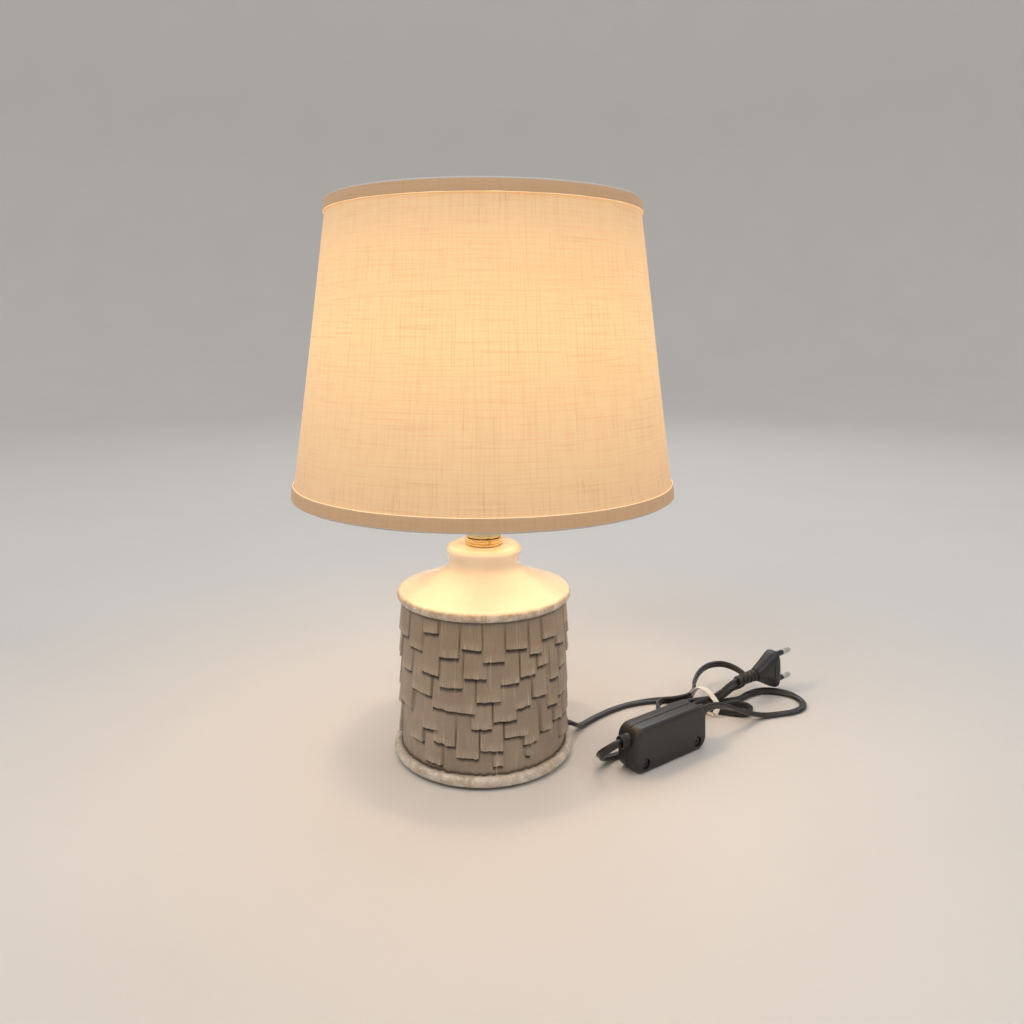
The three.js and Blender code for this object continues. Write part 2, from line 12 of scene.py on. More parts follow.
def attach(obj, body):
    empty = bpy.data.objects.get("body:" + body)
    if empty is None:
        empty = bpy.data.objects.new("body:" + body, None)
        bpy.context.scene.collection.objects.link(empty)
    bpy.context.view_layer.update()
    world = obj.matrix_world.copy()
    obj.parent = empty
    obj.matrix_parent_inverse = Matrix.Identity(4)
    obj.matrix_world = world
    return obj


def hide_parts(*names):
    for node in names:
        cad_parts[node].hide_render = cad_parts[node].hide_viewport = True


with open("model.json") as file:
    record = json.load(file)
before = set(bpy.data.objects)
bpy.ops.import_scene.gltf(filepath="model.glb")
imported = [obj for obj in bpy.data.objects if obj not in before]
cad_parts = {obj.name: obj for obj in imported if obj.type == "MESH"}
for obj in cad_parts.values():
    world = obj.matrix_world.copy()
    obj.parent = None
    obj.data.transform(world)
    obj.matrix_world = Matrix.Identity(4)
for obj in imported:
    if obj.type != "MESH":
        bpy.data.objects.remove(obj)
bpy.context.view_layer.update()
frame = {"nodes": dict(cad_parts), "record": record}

MM = 0.001  # in metres, the unit of the scene
TAU = 2 * math.pi
BACK_TILES = random.Random(7)

# ---- Driving dimensions, in millimetres, as in the CAD ----
WALL = {"radius": 53.5, "bottom": 7.6, "top": 100.2}
FOOT_RIM = {"radius": 55.3, "z": 4.75, "tube": 3.5}
SHOULDER_RIM = {"radius": 54.2, "z": 103.1, "tube": 3.2}
NECK_TOP = 134.3
PAD = {"circle": 53.2, "radius": 2.1, "first": 45}
CORD_HOLE = {"angle": math.radians(12), "z": 9.8, "radius": 4.3}

BULB_Z = 224
BULB_RADIUS = 22.5

SHADE_BOTTOM = {"z": 170.0, "radius": 124.8}
SHADE_TOP = {"z": 361.0, "radius": 104.4}
SHADE_MIDDLE = (SHADE_BOTTOM["radius"] + SHADE_TOP["radius"]) / 2
TRIM_HEIGHT = 8.3
TRIM_THICKNESS = 0.9
TRIM_FOLD = TRIM_THICKNESS + 0.3  # from the shade's edge to what the tape folds over
COVER_INSET = 1.2
LINING_INSET = 2.3
WIRE_RADIUS = 1.5
WIRE_INSET = 4.6
FITTER_Z = 186

SWITCH = {"x": 116.6, "y": -15.4, "z": 14, "heading": math.atan2(0.6, 0.8)}
SWITCH_SIZE = {"length": 66, "height": 28, "depth": 17, "corner": 8}
SWITCH_SCREWS = {"x": (-24, 24), "z": -8}
ROCKER = {"length": 28, "width": 14, "tilt": math.radians(8), "pivot": 5}
SLEEVE_Z = 6

PLUG = {"x": 218.9, "y": 83.8, "z": 18.5, "heading": math.radians(36.5)}
PIN_SPACING = 19

CORD_WIDTH = 5.0
CORD_THICKNESS = 2.7
FLAT = 1.4  # height of the cord's centre where it lies flat
EDGE = 2.6  # and where it stands on its edge

HANK = {"start": (131, 43), "end": (180, 54)}


def in_scene(name, data):
    """A new object, linked to the scene."""
    obj = bpy.data.objects.new(name, data)
    bpy.context.scene.collection.objects.link(obj)
    return obj


# ---- Camera ----
def make_camera():
    data = bpy.data.cameras.new("camera")
    data.sensor_width = 36
    data.lens = 30.23
    data.shift_y = -0.1807
    camera = in_scene("camera", data)
    camera.location = (0.0187, -0.573, 0.2785)
    camera.rotation_euler = (math.pi / 2, 0, 0)
    bpy.context.scene.camera = camera


# ---- Materials ----
class Shader:
    """A material with short calls for the nodes that the lamp's surfaces need."""

    def __init__(self, name, color, roughness, **sockets):
        self.material = bpy.data.materials.new(name)
        self.material.use_nodes = True
        self.tree = self.material.node_tree
        self.surface = self.tree.nodes["Principled BSDF"]
        self.surface.inputs["Base Color"].default_value = (*color, 1)
        self.surface.inputs["Roughness"].default_value = roughness
        for socket, value in sockets.items():
            self.surface.inputs[socket.replace("_", " ")].default_value = value

    def node(self, kind, **inputs):
        node = self.tree.nodes.new("ShaderNode" + kind)
        for socket, value in inputs.items():
            self.feed(value, node.inputs[socket.replace("_", " ")])
        return node

    def feed(self, value, socket):
        if isinstance(value, bpy.types.NodeSocket):
            self.tree.links.new(value, socket)
        else:
            socket.default_value = value

    def set(self, socket, value):
        self.feed(value, self.surface.inputs[socket])

    def place(self, source, scale):
        """Object or UV coordinates, in metres, stretched by scale."""
        coordinates = self.tree.nodes.new("ShaderNodeTexCoord").outputs[source]
        return self.node("Mapping", Vector=coordinates, Scale=scale).outputs["Vector"]

    def height(self):
        """Height above the table, in metres."""
        return self.node("SeparateXYZ", Vector=self.place("Object", (1, 1, 1))).outputs["Z"]

    def noise(self, vector, scale, detail, roughness=0.5):
        node = self.node("TexNoise", Vector=vector, Scale=scale, Detail=detail, Roughness=roughness)
        return node.outputs["Fac"]

    def solid_noise(self, scale, detail, roughness=0.5):
        """Noise through the solid, the same size in every direction."""
        return self.noise(self.place("Object", (1, 1, 1)), scale, detail, roughness)

    def streak_noise(self, round_piece, up_piece, detail, roughness=0.5):
        """Noise over the surface, with its own fineness round the piece and up it."""
        return self.noise(self.place("UV", (round_piece, up_piece, 1)), 1.0, detail, roughness)

    def ramp(self, fac, *stops):
        node = self.node("ValToRGB", Fac=fac)
        elements = node.color_ramp.elements
        while len(elements) < len(stops):
            elements.new(0.5)
        for element, (position, color) in zip(elements, stops):
            element.position = position
            element.color = (*color, 1) if isinstance(color, tuple) else (color, color, color, 1)
        return node.outputs["Color"]

    def span(self, value, low, high, to_low=0.0, to_high=1.0):
        node = self.node(
            "MapRange", Value=value, From_Min=low, From_Max=high, To_Min=to_low, To_Max=to_high)
        return node.outputs["Result"]

    def math(self, operation, a, b):
        node = self.tree.nodes.new("ShaderNodeMath")
        node.operation = operation
        self.feed(a, node.inputs[0])
        self.feed(b, node.inputs[1])
        return node.outputs["Value"]

    def plus(self, a, b):
        return self.math("ADD", a, b)

    def times(self, a, b):
        return self.math("MULTIPLY", a, b)

    def mix(self, fac, a, b, blend="MIX"):
        node = self.tree.nodes.new("ShaderNodeMix")
        node.data_type = "RGBA"
        node.blend_type = blend
        self.feed(fac, node.inputs[0])
        self.feed((*a, 1) if isinstance(a, tuple) else a, node.inputs[6])
        self.feed((*b, 1) if isinstance(b, tuple) else b, node.inputs[7])
        return node.outputs[2]

    def color(self, fac, a, b):
        self.set("Base Color", self.mix(fac, a, b))

    def glow(self, fac, a, b):
        self.set("Emission Color", self.mix(fac, a, b))

    def attribute(self, name):
        node = self.tree.nodes.new("ShaderNodeAttribute")
        node.attribute_name = name
        return node.outputs["Fac"]

    def bump(self, height, distance, strength=1.0):
        node = self.node("Bump", Height=height, Distance=distance, Strength=strength)
        self.set("Normal", node.outputs["Normal"])


def moulded(name, color, roughness, grain=0.00004, scale=1500.0, **sockets):
    """Moulded plastic or another plain solid: a faint grain, and gloss that varies a little."""
    shader = Shader(name, color, roughness, **sockets)
    fine = shader.solid_noise(scale, 3)
    broad = shader.solid_noise(55.0, 4)
    shader.set("Roughness", shader.span(broad, 0.3, 0.7, roughness * 0.8, min(1, roughness * 1.3)))
    light = tuple(min(1, c * 1.25 + 0.004) for c in color)
    shader.color(broad, color, light)
    shader.bump(fine, grain)
    return shader.material


def metal(name, color, roughness, stretch=(300, 300, 9000), grain=0.00002):
    """Turned metal: fine rings round the axis, and slight tarnish."""
    shader = Shader(name, color, roughness, Metallic=1.0)
    lines = shader.noise(shader.place("Object", stretch), 1.0, 3)
    tarnish = shader.solid_noise(90.0, 4)
    dark = tuple(c * 0.85 for c in color)
    shader.color(shader.span(tarnish, 0.42, 0.75), color, dark)
    shader.set("Roughness", shader.span(tarnish, 0.3, 0.75, roughness * 0.7, roughness * 1.6))
    shader.bump(lines, grain)
    return shader.material


def weave(shader, fine=1.0):
    """Threads both ways and a few thicker slubs, from 0 (open) to about 1 (a dark thread)."""
    warp = shader.streak_noise(900 * fine, 30, 2, 0.6)
    weft = shader.streak_noise(26, 930 * fine, 2, 0.6)
    dots = shader.streak_noise(1300 * fine, 1300 * fine, 2)
    thick_warp = shader.streak_noise(760, 24, 1, 0.5)
    thick_weft = shader.streak_noise(20, 790, 1, 0.5)
    threads = shader.plus(shader.span(warp, 0.46, 0.72), shader.span(weft, 0.46, 0.72))
    slubs = shader.plus(shader.span(thick_warp, 0.6, 0.7), shader.span(thick_weft, 0.6, 0.7))
    both = shader.plus(shader.times(threads, 0.26), shader.times(slubs, 0.27))
    return shader.plus(both, shader.times(shader.span(dots, 0.3, 0.7), 0.24))


def linen():
    """Cream linen over a lit lamp, with a painted glow: emission for the bulb's light through the cloth, most
    a little above the bulb, less through thick threads.
    """
    shader = Shader("linen", (0.72, 0.62, 0.48), 0.92, Emission_Strength=1.0, Sheen_Weight=0.15)
    pattern = weave(shader)
    shader.color(pattern, (0.64, 0.54, 0.40), (0.52, 0.41, 0.28))
    low, high = SHADE_BOTTOM["z"] * MM, SHADE_TOP["z"] * MM
    # Painted glow: the bulb's light through the cloth, given as emission by height.
    glow = shader.ramp(
        shader.span(shader.height(), low, high),
        (0.0, (0.36, 0.160, 0.032)), (0.22, (0.52, 0.260, 0.062)), (0.55, (0.72, 0.385, 0.105)),
        (0.80, (0.63, 0.320, 0.080)), (1.0, (0.40, 0.180, 0.038)))
    shade = shader.mix(pattern, (1.0, 1.0, 1.0), (0.69, 0.56, 0.42))
    shader.set("Emission Color", shader.mix(1.0, glow, shade, "MULTIPLY"))
    shader.bump(pattern, 0.00010, 0.7)
    return shader.material


def trim_tape():
    """The same linen doubled over as an edging, so less light comes through; its colour is painted darker
    than the linen's too, as painted shade.
    """
    shader = Shader("trim", (0.50, 0.38, 0.26), 0.9, Emission_Strength=1.0, Sheen_Weight=0.15)
    pattern = weave(shader, 1.1)
    # Painted shade: a darker copy of the linen's colour, for the doubled cloth that lets less lamp light
    # through.
    tape = shader.mix(pattern, (0.48, 0.36, 0.245), (0.42, 0.31, 0.205))
    glow = shader.mix(pattern, (0.185, 0.078, 0.018), (0.160, 0.066, 0.015))
    low, high = SHADE_BOTTOM["z"] * MM, SHADE_TOP["z"] * MM
    height = shader.height()
    outer, inner = 0.7 * MM, 1.4 * MM  # the fold over the wire, painted cool grey as if lit only by room light and not glowing: full up to outer, gone by inner
    at_bottom = shader.span(height, low + inner, low + outer)
    at_top = shader.span(height, high - inner, high - outer)
    fold = shader.plus(at_bottom, at_top)
    # Painted light: the fold gets a cool grey for room light alone, and next to no glow, instead of the
    # fabric's cream.
    shader.color(fold, tape, (0.58, 0.55, 0.52))
    shader.glow(fold, glow, (0.02, 0.012, 0.006))
    shader.bump(pattern, 0.00010, 0.7)
    return shader.material


def bead_painted_glow():
    """Twisted bead where the tape meets the linen, bright with a painted glow of lamp light leaking past the
    tape's thin edge.
    """
    shader = Shader("bead_painted_glow", (0.85, 0.76, 0.60), 0.8, Emission_Strength=1.0)
    twist = shader.streak_noise(900, 40, 2)
    shader.glow(twist, (0.62, 0.37, 0.14), (0.46, 0.25, 0.08))
    shader.bump(twist, 0.0001)
    return shader.material


def lining():
    """Smooth off-white backing film behind the linen, with a painted glow for the bulb's light falling on it.
    """
    shader = Shader("lining", (0.62, 0.56, 0.47), 0.55, Emission_Strength=1.0)
    cloud = shader.solid_noise(60.0, 4)
    shader.color(cloud, (0.64, 0.58, 0.48), (0.56, 0.50, 0.40))
    # Painted glow: emission for the bulb's light on the lining.
    shader.glow(cloud, (0.92, 0.58, 0.28), (0.78, 0.48, 0.22))
    shader.bump(shader.solid_noise(900.0, 2), 0.00004)
    return shader.material


def glaze():
    """White glaze on the rims, shoulder and neck; taupe matt tiles with white dry-brushed edges, and painted
    shadow under the tiles' edges and by the rims.
    """
    shader = Shader("glaze", (0.8, 0.76, 0.68), 0.3, Coat_Weight=0.25, Coat_Roughness=0.12)
    tiles = shader.attribute("tiles")
    edge = shader.attribute("edge")
    painted_shadow = shader.attribute("painted_shadow")
    rim = shader.attribute("rim")

    streaks = shader.streak_noise(1150, 55, 4, 0.65)
    long_streaks = shader.streak_noise(520, 24, 3, 0.55)
    cloud = shader.solid_noise(38.0, 5, 0.6)
    patches = shader.solid_noise(150.0, 4, 0.6)
    speckle = shader.solid_noise(420.0, 4, 0.7)

    taupe = shader.mix(shader.span(cloud, 0.3, 0.7), (0.300, 0.232, 0.165), (0.390, 0.310, 0.228))
    taupe = shader.mix(shader.span(streaks, 0.40, 0.72, 0.0, 0.45), taupe, (0.240, 0.180, 0.124))
    # Painted shadow: near black under each tile's lower edge and in the creases by the foot and shoulder
    # rims.
    taupe = shader.mix(painted_shadow, taupe, (0.026, 0.015, 0.008))
    brushed = shader.times(edge, shader.span(streaks, 0.46, 0.64, 0.05, 0.80))
    lines = shader.span(long_streaks, 0.60, 0.68)
    lines = shader.times(lines, shader.span(edge, 0.0, 0.8, 0.40, 0.95))
    lines = shader.times(lines, shader.span(streaks, 0.35, 0.55, 0.3, 1.0))
    white_on_tiles = shader.math("MAXIMUM", brushed, lines)
    tile_color = shader.mix(white_on_tiles, taupe, (0.62, 0.53, 0.42))

    white = shader.mix(shader.span(cloud, 0.35, 0.75), (0.82, 0.78, 0.70), (0.77, 0.72, 0.63))
    worn = shader.times(
        shader.span(patches, 0.34, 0.58, 0.30, 1.0), shader.span(speckle, 0.36, 0.58, 0.5, 1.0))
    mottle = shader.times(rim, worn)
    white = shader.mix(mottle, white, (0.46, 0.36, 0.26))
    shader.color(tiles, white, tile_color)

    rough = shader.plus(shader.times(tiles, 0.34), shader.times(rim, 0.22))
    shader.set("Roughness", shader.plus(rough, 0.18))
    grooves = shader.times(tiles, streaks)
    pits = shader.times(rim, shader.plus(speckle, patches))
    shader.bump(shader.plus(grooves, pits), 0.00035, 0.7)
    return shader.material


def bulb_glass():
    shader = Shader("bulb_glass", (0.9, 0.85, 0.75), 0.35, Emission_Strength=2.6)
    cloud = shader.solid_noise(90.0, 3)
    shader.glow(cloud, (1.0, 0.70, 0.36), (1.0, 0.62, 0.28))
    return shader.material


def filament():
    shader = Shader("filament", (0.9, 0.7, 0.4), 0.6, Emission_Strength=4.0)
    cloud = shader.solid_noise(400.0, 2)
    shader.glow(cloud, (1.0, 0.72, 0.38), (1.0, 0.60, 0.26))
    return shader.material


def cord_sheath():
    """Black flexible PVC, slightly glossy, with faint waves along it."""
    shader = Shader("cord", (0.012, 0.011, 0.010), 0.34, Coat_Weight=0.2, Coat_Roughness=0.25)
    wave = shader.solid_noise(260.0, 3)
    fine = shader.solid_noise(2400.0, 2)
    shader.color(wave, (0.010, 0.009, 0.008), (0.022, 0.019, 0.017))
    shader.set("Roughness", shader.span(wave, 0.3, 0.7, 0.26, 0.46))
    shader.bump(fine, 0.00003)
    return shader.material


def felt():
    shader = Shader("felt", (0.16, 0.14, 0.12), 0.95, Sheen_Weight=0.4)
    fibres = shader.solid_noise(2600.0, 4, 0.7)
    shader.color(fibres, (0.13, 0.11, 0.09), (0.24, 0.21, 0.18))
    shader.bump(fibres, 0.0003)
    return shader.material


MATERIALS = {
    "glaze": glaze(),
    "felt": felt(),
    "black_plastic": moulded("black_plastic", (0.014, 0.013, 0.012), 0.33, 0.00005, 1800.0),
    "brass": metal("brass", (0.83, 0.64, 0.34), 0.20, (40, 40, 1500), 0.000001),
    "steel": metal("steel", (0.48, 0.48, 0.49), 0.34, (600, 600, 600), 0.000006),
    "porcelain": moulded("porcelain", (0.78, 0.76, 0.70), 0.28, 0.00003, 700.0),
    "nickel": metal("nickel", (0.66, 0.65, 0.62), 0.22, (60, 60, 2000), 0.000004),
    "bulb_glass": bulb_glass(),
    "filament": filament(),
    "shade_lining": lining(),
    "linen": linen(),
    "trim": trim_tape(),
    "wire": moulded("wire", (0.62, 0.60, 0.56), 0.30, 0.00004, 1300.0, Coat_Weight=0.3),
    "cord": cord_sheath(),
    "tie": moulded("tie", (0.76, 0.73, 0.66), 0.38, 0.00006, 1100.0, Coat_Weight=0.2),
}

TRIM_BEAD_GLOW = bead_painted_glow()
BLACKENED = metal("blackened_steel", (0.11, 0.11, 0.115), 0.40, (600, 600, 600), 0.000006)


# ---- Mesh helpers ----
def shade_smooth(mesh, sharp):
    """Smooth all over, but for edges sharper than this many degrees."""
    mesh.polygons.foreach_set("use_smooth", [True] * len(mesh.polygons))
    mesh.set_sharp_from_angle(angle=math.radians(sharp))


def add(name, mesh, body, slot, replaced=(), sharp=35, material=None):
    """Puts a mesh in the scene. With a body, it is a finished piece that rides on it."""
    obj = in_scene(name, mesh)
    mesh.materials.append(material or MATERIALS[slot])
    shade_smooth(mesh, sharp)
    if body:
        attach(obj, body)
    if replaced:
        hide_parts(*replaced)
    return obj


def grid_mesh(name, points, wrap_rows=False, uv=None, caps=False):
    """points[row][column] as a mesh whose columns close into rings. Its faces look outwards where rows
    climb on the outside and columns run round anticlockwise seen from above."""
    points = np.asarray(points, dtype=float)
    rows, columns = points.shape[:2]
    row_count = rows if wrap_rows else rows - 1
    i, j = np.meshgrid(np.arange(row_count), np.arange(columns), indexing="ij")
    i2, j2 = (i + 1) % rows, (j + 1) % columns
    faces = np.stack([i * columns + j, i * columns + j2, i2 * columns + j2, i2 * columns + j], -1)
    faces = faces.reshape(-1, 4).tolist()
    if caps:
        faces.append(list(range(columns))[::-1])
        faces.append([(rows - 1) * columns + k for k in range(columns)])
    mesh = bpy.data.meshes.new(name)
    mesh.from_pydata((points.reshape(-1, 3) * MM).tolist(), [], faces)
    if uv is not None:
        layer = mesh.uv_layers.new(name="UVMap")
        corners = np.stack([uv[i, j], uv[i, j + 1], uv[i + 1, j + 1], uv[i + 1, j]], 2).reshape(-1, 2)
        flat = np.zeros((len(mesh.loops), 2))
        flat[: len(corners)] = corners * MM
        layer.data.foreach_set("uv", flat.ravel())
    mesh.update()
    return mesh


def tidy(mesh):
    """Merges doubled points and turns every face outwards."""
    shape = bmesh.new()
    shape.from_mesh(mesh)
    bmesh.ops.remove_doubles(shape, verts=shape.verts, dist=1e-6)
    bmesh.ops.dissolve_degenerate(shape, dist=1e-7, edges=shape.edges)
    bmesh.ops.recalc_face_normals(shape, faces=shape.faces)
    shape.to_mesh(mesh)
    shape.free()
    mesh.update()
    return mesh


def rounded(points, radius, closed=True, steps=4):
    """A polyline with each corner eased into a short curve."""
    points = [np.array(p, dtype=float) for p in points]
    count = len(points)
    result = []
    for k, corner in enumerate(points):
        if not closed and k in (0, count - 1):
            result.append(corner)
            continue
        before, after = points[k - 1] - corner, points[(k + 1) % count] - corner
        cut = min(radius, np.linalg.norm(before) * 0.45, np.linalg.norm(after) * 0.45)
        a = corner + before / np.linalg.norm(before) * cut
        b = corner + after / np.linalg.norm(after) * cut
        for t in np.linspace(0, 1, steps):
            result.append((1 - t) ** 2 * a + 2 * t * (1 - t) * corner + t * t * b)
    return result


def angles(count):
    """Angles from the front, from the back seam round and to it again, one per column."""
    return -math.pi + TAU * np.arange(count) / count


def ring_points(radius, z, phi):
    """Points round the lamp's axis, one per column."""
    return np.stack([radius * np.sin(phi), -radius * np.cos(phi), np.broadcast_to(z, phi.shape)], -1)


def unrolled(radius, columns, heights):
    """UV of a wall of this radius laid out flat, in millimetres."""
    return np.stack(np.meshgrid(np.linspace(0, TAU * radius, columns + 1), heights), -1)


def revolve(name, profile, segments, closed=True, radial=None):
    """A turned piece from a profile of (radius, height). radial changes a ring's radius by angle."""
    phi = angles(segments)
    points = []
    for radius, z in profile:
        r = np.full(segments, float(radius))
        if radial is not None:
            r = radial(r, z, phi)
        points.append(ring_points(r, z, phi))
    lengths = run_along(np.array(profile))
    if closed:
        lengths = np.append(lengths, lengths[-1] + 1)
    widest = max(p[0] for p in profile)
    return tidy(grid_mesh(name, points, wrap_rows=closed, uv=unrolled(widest, segments, lengths)))


def raised(profile, z):
    return [(radius, z + height) for radius, height in profile]


def turned(name, profile, body, slot, replaced, segments, ease, closed=True, radial=None, sharp=40):
    """A turned piece whose corners are eased by a small radius."""
    mesh = revolve(name, rounded(profile, ease, closed), segments, closed, radial)
    return add(name, mesh, body, slot, replaced, sharp)


def run_along(points, power=1):
    """Running length along a line of points, with each step raised to a power."""
    return np.concatenate([[0], np.cumsum(np.linalg.norm(np.diff(points, axis=0), axis=1) ** power)])


def blend(t, start, end, p, q):
    """The value at t on the way from p at start to q at end."""
    return (end - t) / (end - start) * p + (t - start) / (end - start) * q


def smooth_path(points, step):
    """A smooth curve through the points, resampled at even steps. Extra columns are carried along."""
    points = np.array(points, dtype=float)
    ends = np.vstack([2 * points[0] - points[1], points, 2 * points[-1] - points[-2]])
    knots = run_along(ends[:, :3], 0.5)
    dense = []
    for k in range(1, len(ends) - 2):
        p0, p1, p2, p3 = ends[k - 1: k + 3]
        t0, t1, t2, t3 = knots[k - 1: k + 3]
        t = np.linspace(t1, t2, 24, endpoint=False)[:, None]
        a1, a2, a3 = blend(t, t0, t1, p0, p1), blend(t, t1, t2, p1, p2), blend(t, t2, t3, p2, p3)
        b1, b2 = blend(t, t0, t2, a1, a2), blend(t, t1, t3, a2, a3)
        dense.append(blend(t, t1, t2, b1, b2))
    dense = np.vstack([*dense, points[-1:]])
    run = run_along(dense[:, :3])
    even = np.linspace(0, run[-1], max(2, round(run[-1] / step) + 1))
    return np.stack([np.interp(even, run, dense[:, c]) for c in range(dense.shape[1])], -1)


def swept(name, path, section, lean=None, flat_along=None):
    """Sweeps a closed section (across, up) along a path. lean tips the section about the path, in degrees;
    flat_along is the direction that a strap's width keeps to instead."""
    tangents = np.gradient(path[:, :3], axis=0)
    tangents /= np.linalg.norm(tangents, axis=1)[:, None]
    if flat_along is None:
        across = np.cross([0, 0, 1], tangents)
    else:
        across = flat_along - (tangents @ flat_along)[:, None] * tangents
    across /= np.maximum(np.linalg.norm(across, axis=1), 1e-9)[:, None]
    up = np.cross(tangents, across)
    turn = np.zeros(len(path)) if lean is None else np.radians(lean)
    side = np.cos(turn)[:, None] * across + np.sin(turn)[:, None] * up
    top = np.cross(tangents, side)
    section = np.array(section)
    rings = path[:, None, :3] + side[:, None] * section[None, :, :1] + top[:, None] * section[None, :, 1:]
    return tidy(grid_mesh(name, rings, caps=True))


def unit_circle(sides):
    """(cosine, sine) at even steps round a circle."""
    return [(math.cos(a), math.sin(a)) for a in np.linspace(0, TAU, sides, endpoint=False)]


def round_section(radius, sides):
    return [(radius * c, radius * s) for c, s in unit_circle(sides)]


def twin_section(width, thickness):
    """Two round cores side by side in one sheath, with a shallow groove between them."""
    core = thickness / 2
    offset = width / 2 - core
    outline = []
    for c, s in unit_circle(28):
        x = width / 2 * c
        half = math.sqrt(max(0.0, core * core - (abs(x) - offset) ** 2))
        if abs(x) <= offset:
            groove = core * (0.70 + 0.30 * abs(x) / offset)
            half = max(half, groove)
        outline.append((x, math.copysign(half, s) if abs(s) > 1e-6 else 0.0))
    return outline


def move(obj, x=0.0, y=0.0, z=0.0):
    obj.data.transform(Matrix.Translation(Vector((x, y, z)) * MM))


def spin(obj, angle, axis):
    obj.data.transform(Matrix.Rotation(angle, 4, axis))


def put(obj, place):
    """Moves a piece built about the origin to where it stands on the table."""
    spin(obj, place["heading"], "Z")
    move(obj, place["x"], place["y"], place["z"])


def rounded_rectangle(width, height, corner, inset):
    """Points round a rectangle with round corners, drawn in by inset."""
    corner = max(corner - inset, 0.8)
    x, y = width / 2 - inset - corner, height / 2 - inset - corner
    points = []
    for cx, cy, start in ((x, y, 0), (-x, y, 90), (-x, -y, 180), (x, -y, 270)):
        for t in np.linspace(start, start + 90, 9):
            a = math.radians(t)
            points.append((cx + corner * math.cos(a), cy + corner * math.sin(a)))
    return points


def carve(obj, cutters):
    """Cuts plain tool shapes out of a piece, and shades it smooth but for edges sharper than 32 degrees."""
    for tool in cutters:
        cutter = in_scene("cutter", tool)
        modifier = obj.modifiers.new("cut", "BOOLEAN")
        modifier.object = cutter
        modifier.solver = "EXACT"
        bpy.context.view_layer.update()
        graph = bpy.context.evaluated_depsgraph_get()
        result = bpy.data.meshes.new_from_object(obj.evaluated_get(graph))
        obj.modifiers.clear()
        obj.data = result
        bpy.data.objects.remove(cutter)
    shade_smooth(obj.data, 32)


def rod_along(axis, radius, start, end, centre):
    """A plain rod, used as a cutting tool. start and end are along the axis, from the centre."""
    ends = []
    for along in (start, end):
        row = []
        for a, b in round_section(radius, 40):
            point = {"X": (along, a, b), "Y": (b, along, a), "Z": (a, b, along)}[axis]
            row.append(np.add(point, centre))
        ends.append(row)
    return tidy(grid_mesh("rod", ends, caps=True))


def block(low, high):
    """A plain box between two corners, used as a cutting tool."""
    corners = ((low[0], low[1]), (high[0], low[1]), (high[0], high[1]), (low[0], high[1]))
    rows = [[(x, y, z) for x, y in corners] for z in (low[2], high[2])]
    return tidy(grid_mesh("block", rows, caps=True))


# ---- Inline switch: X along it, Y out of the rocker's face, Z up ----
def switch_shell(name, node, outer, inner):
    """Half of the switch's case: from its parting face (inner) to its eased outer face, both as Y."""
    size, ease = SWITCH_SIZE, 2.4
    sign = 1 if outer > inner else -1
    levels = [(inner, 0.35), (inner + sign * 0.35, 0.0)]
    for t in np.linspace(0, math.pi / 2, 7):
        levels.append((outer - sign * ease * (1 - math.sin(t)), ease * (1 - math.cos(t))))
    levels.append((outer, ease + 2.6))
    rings = []
    for y, inset in levels:
        outline = rounded_rectangle(size["length"], size["height"], size["corner"], inset)
        rings.append([[x, y, z] for x, z in outline])
    mesh = tidy(grid_mesh(name, rings, caps=True))
    shell = add(name, mesh, "base", "black_plastic", [node])
    cutters = [rod_along("X", 4.3, -40, 40, (0, 0, SLEEVE_Z))]
    if sign > 0:
        cutters.append(block((-15.3, 0.6, -7.5), (15.3, 12, 7.5)))
    else:
        cutters += [rod_along("Y", 3.3, -9, -6.9, (x, 0, SWITCH_SCREWS["z"])) for x in SWITCH_SCREWS["x"]]
    carve(shell, cutters)
    put(shell, SWITCH)
    return shell


def make_switch():
    half = SWITCH_SIZE["depth"] / 2
    pieces = [
        switch_shell("switch_case_front", "switch_front_shell", -half, -0.15),
        switch_shell("switch_case_rear", "switch_rear_shell", half, 0.15),
    ]
    for number, x in enumerate(SWITCH_SCREWS["x"], 1):
        head = [(0, -1.6), (2.9, -1.6), (2.9, 0.35), (2.3, 0.8), (0, 0.95)]
        name = f"switch_screw_head_{number}"
        mesh = revolve(name, rounded(head, 0.25, False), 32, False)
        screw = add(name, mesh, "base", "steel", [f"switch_screw_{number}"], 35, BLACKENED)
        slots = [block((-a, -b, 0.25), (a, b, 2)) for a, b in ((2.4, 0.35), (0.35, 2.4))]
        carve(screw, slots)
        spin(screw, math.pi / 2, "X")
        move(screw, x, -half + 1.5, SWITCH_SCREWS["z"])
        put(screw, SWITCH)
        pieces.append(screw)

    for side, sign in (("left", -1), ("right", 1)):
        profile = [(2.95, 27), (4.8, 27), (4.8, 28.1), (4.2, 28.4), (4.2, 34)]
        for ridge in range(3):
            start = 34.2 + ridge * 1.35
            outer = 4.25 - ridge * 0.12
            profile += [(3.85, start), (3.85, start + 0.35), (outer, start + 0.6), (outer, start + 1.2)]
        profile += [(3.6, 38.4), (2.95, 38.6)]
        name = f"strain_sleeve_{side}"
        sleeve = turned(name, profile, "base", "black_plastic", [f"cord_sleeve_{side}"], 48, 0.2)
        spin(sleeve, sign * math.pi / 2, "Y")
        move(sleeve, z=SLEEVE_Z)
        put(sleeve, SWITCH)
        pieces.append(sleeve)
    return pieces


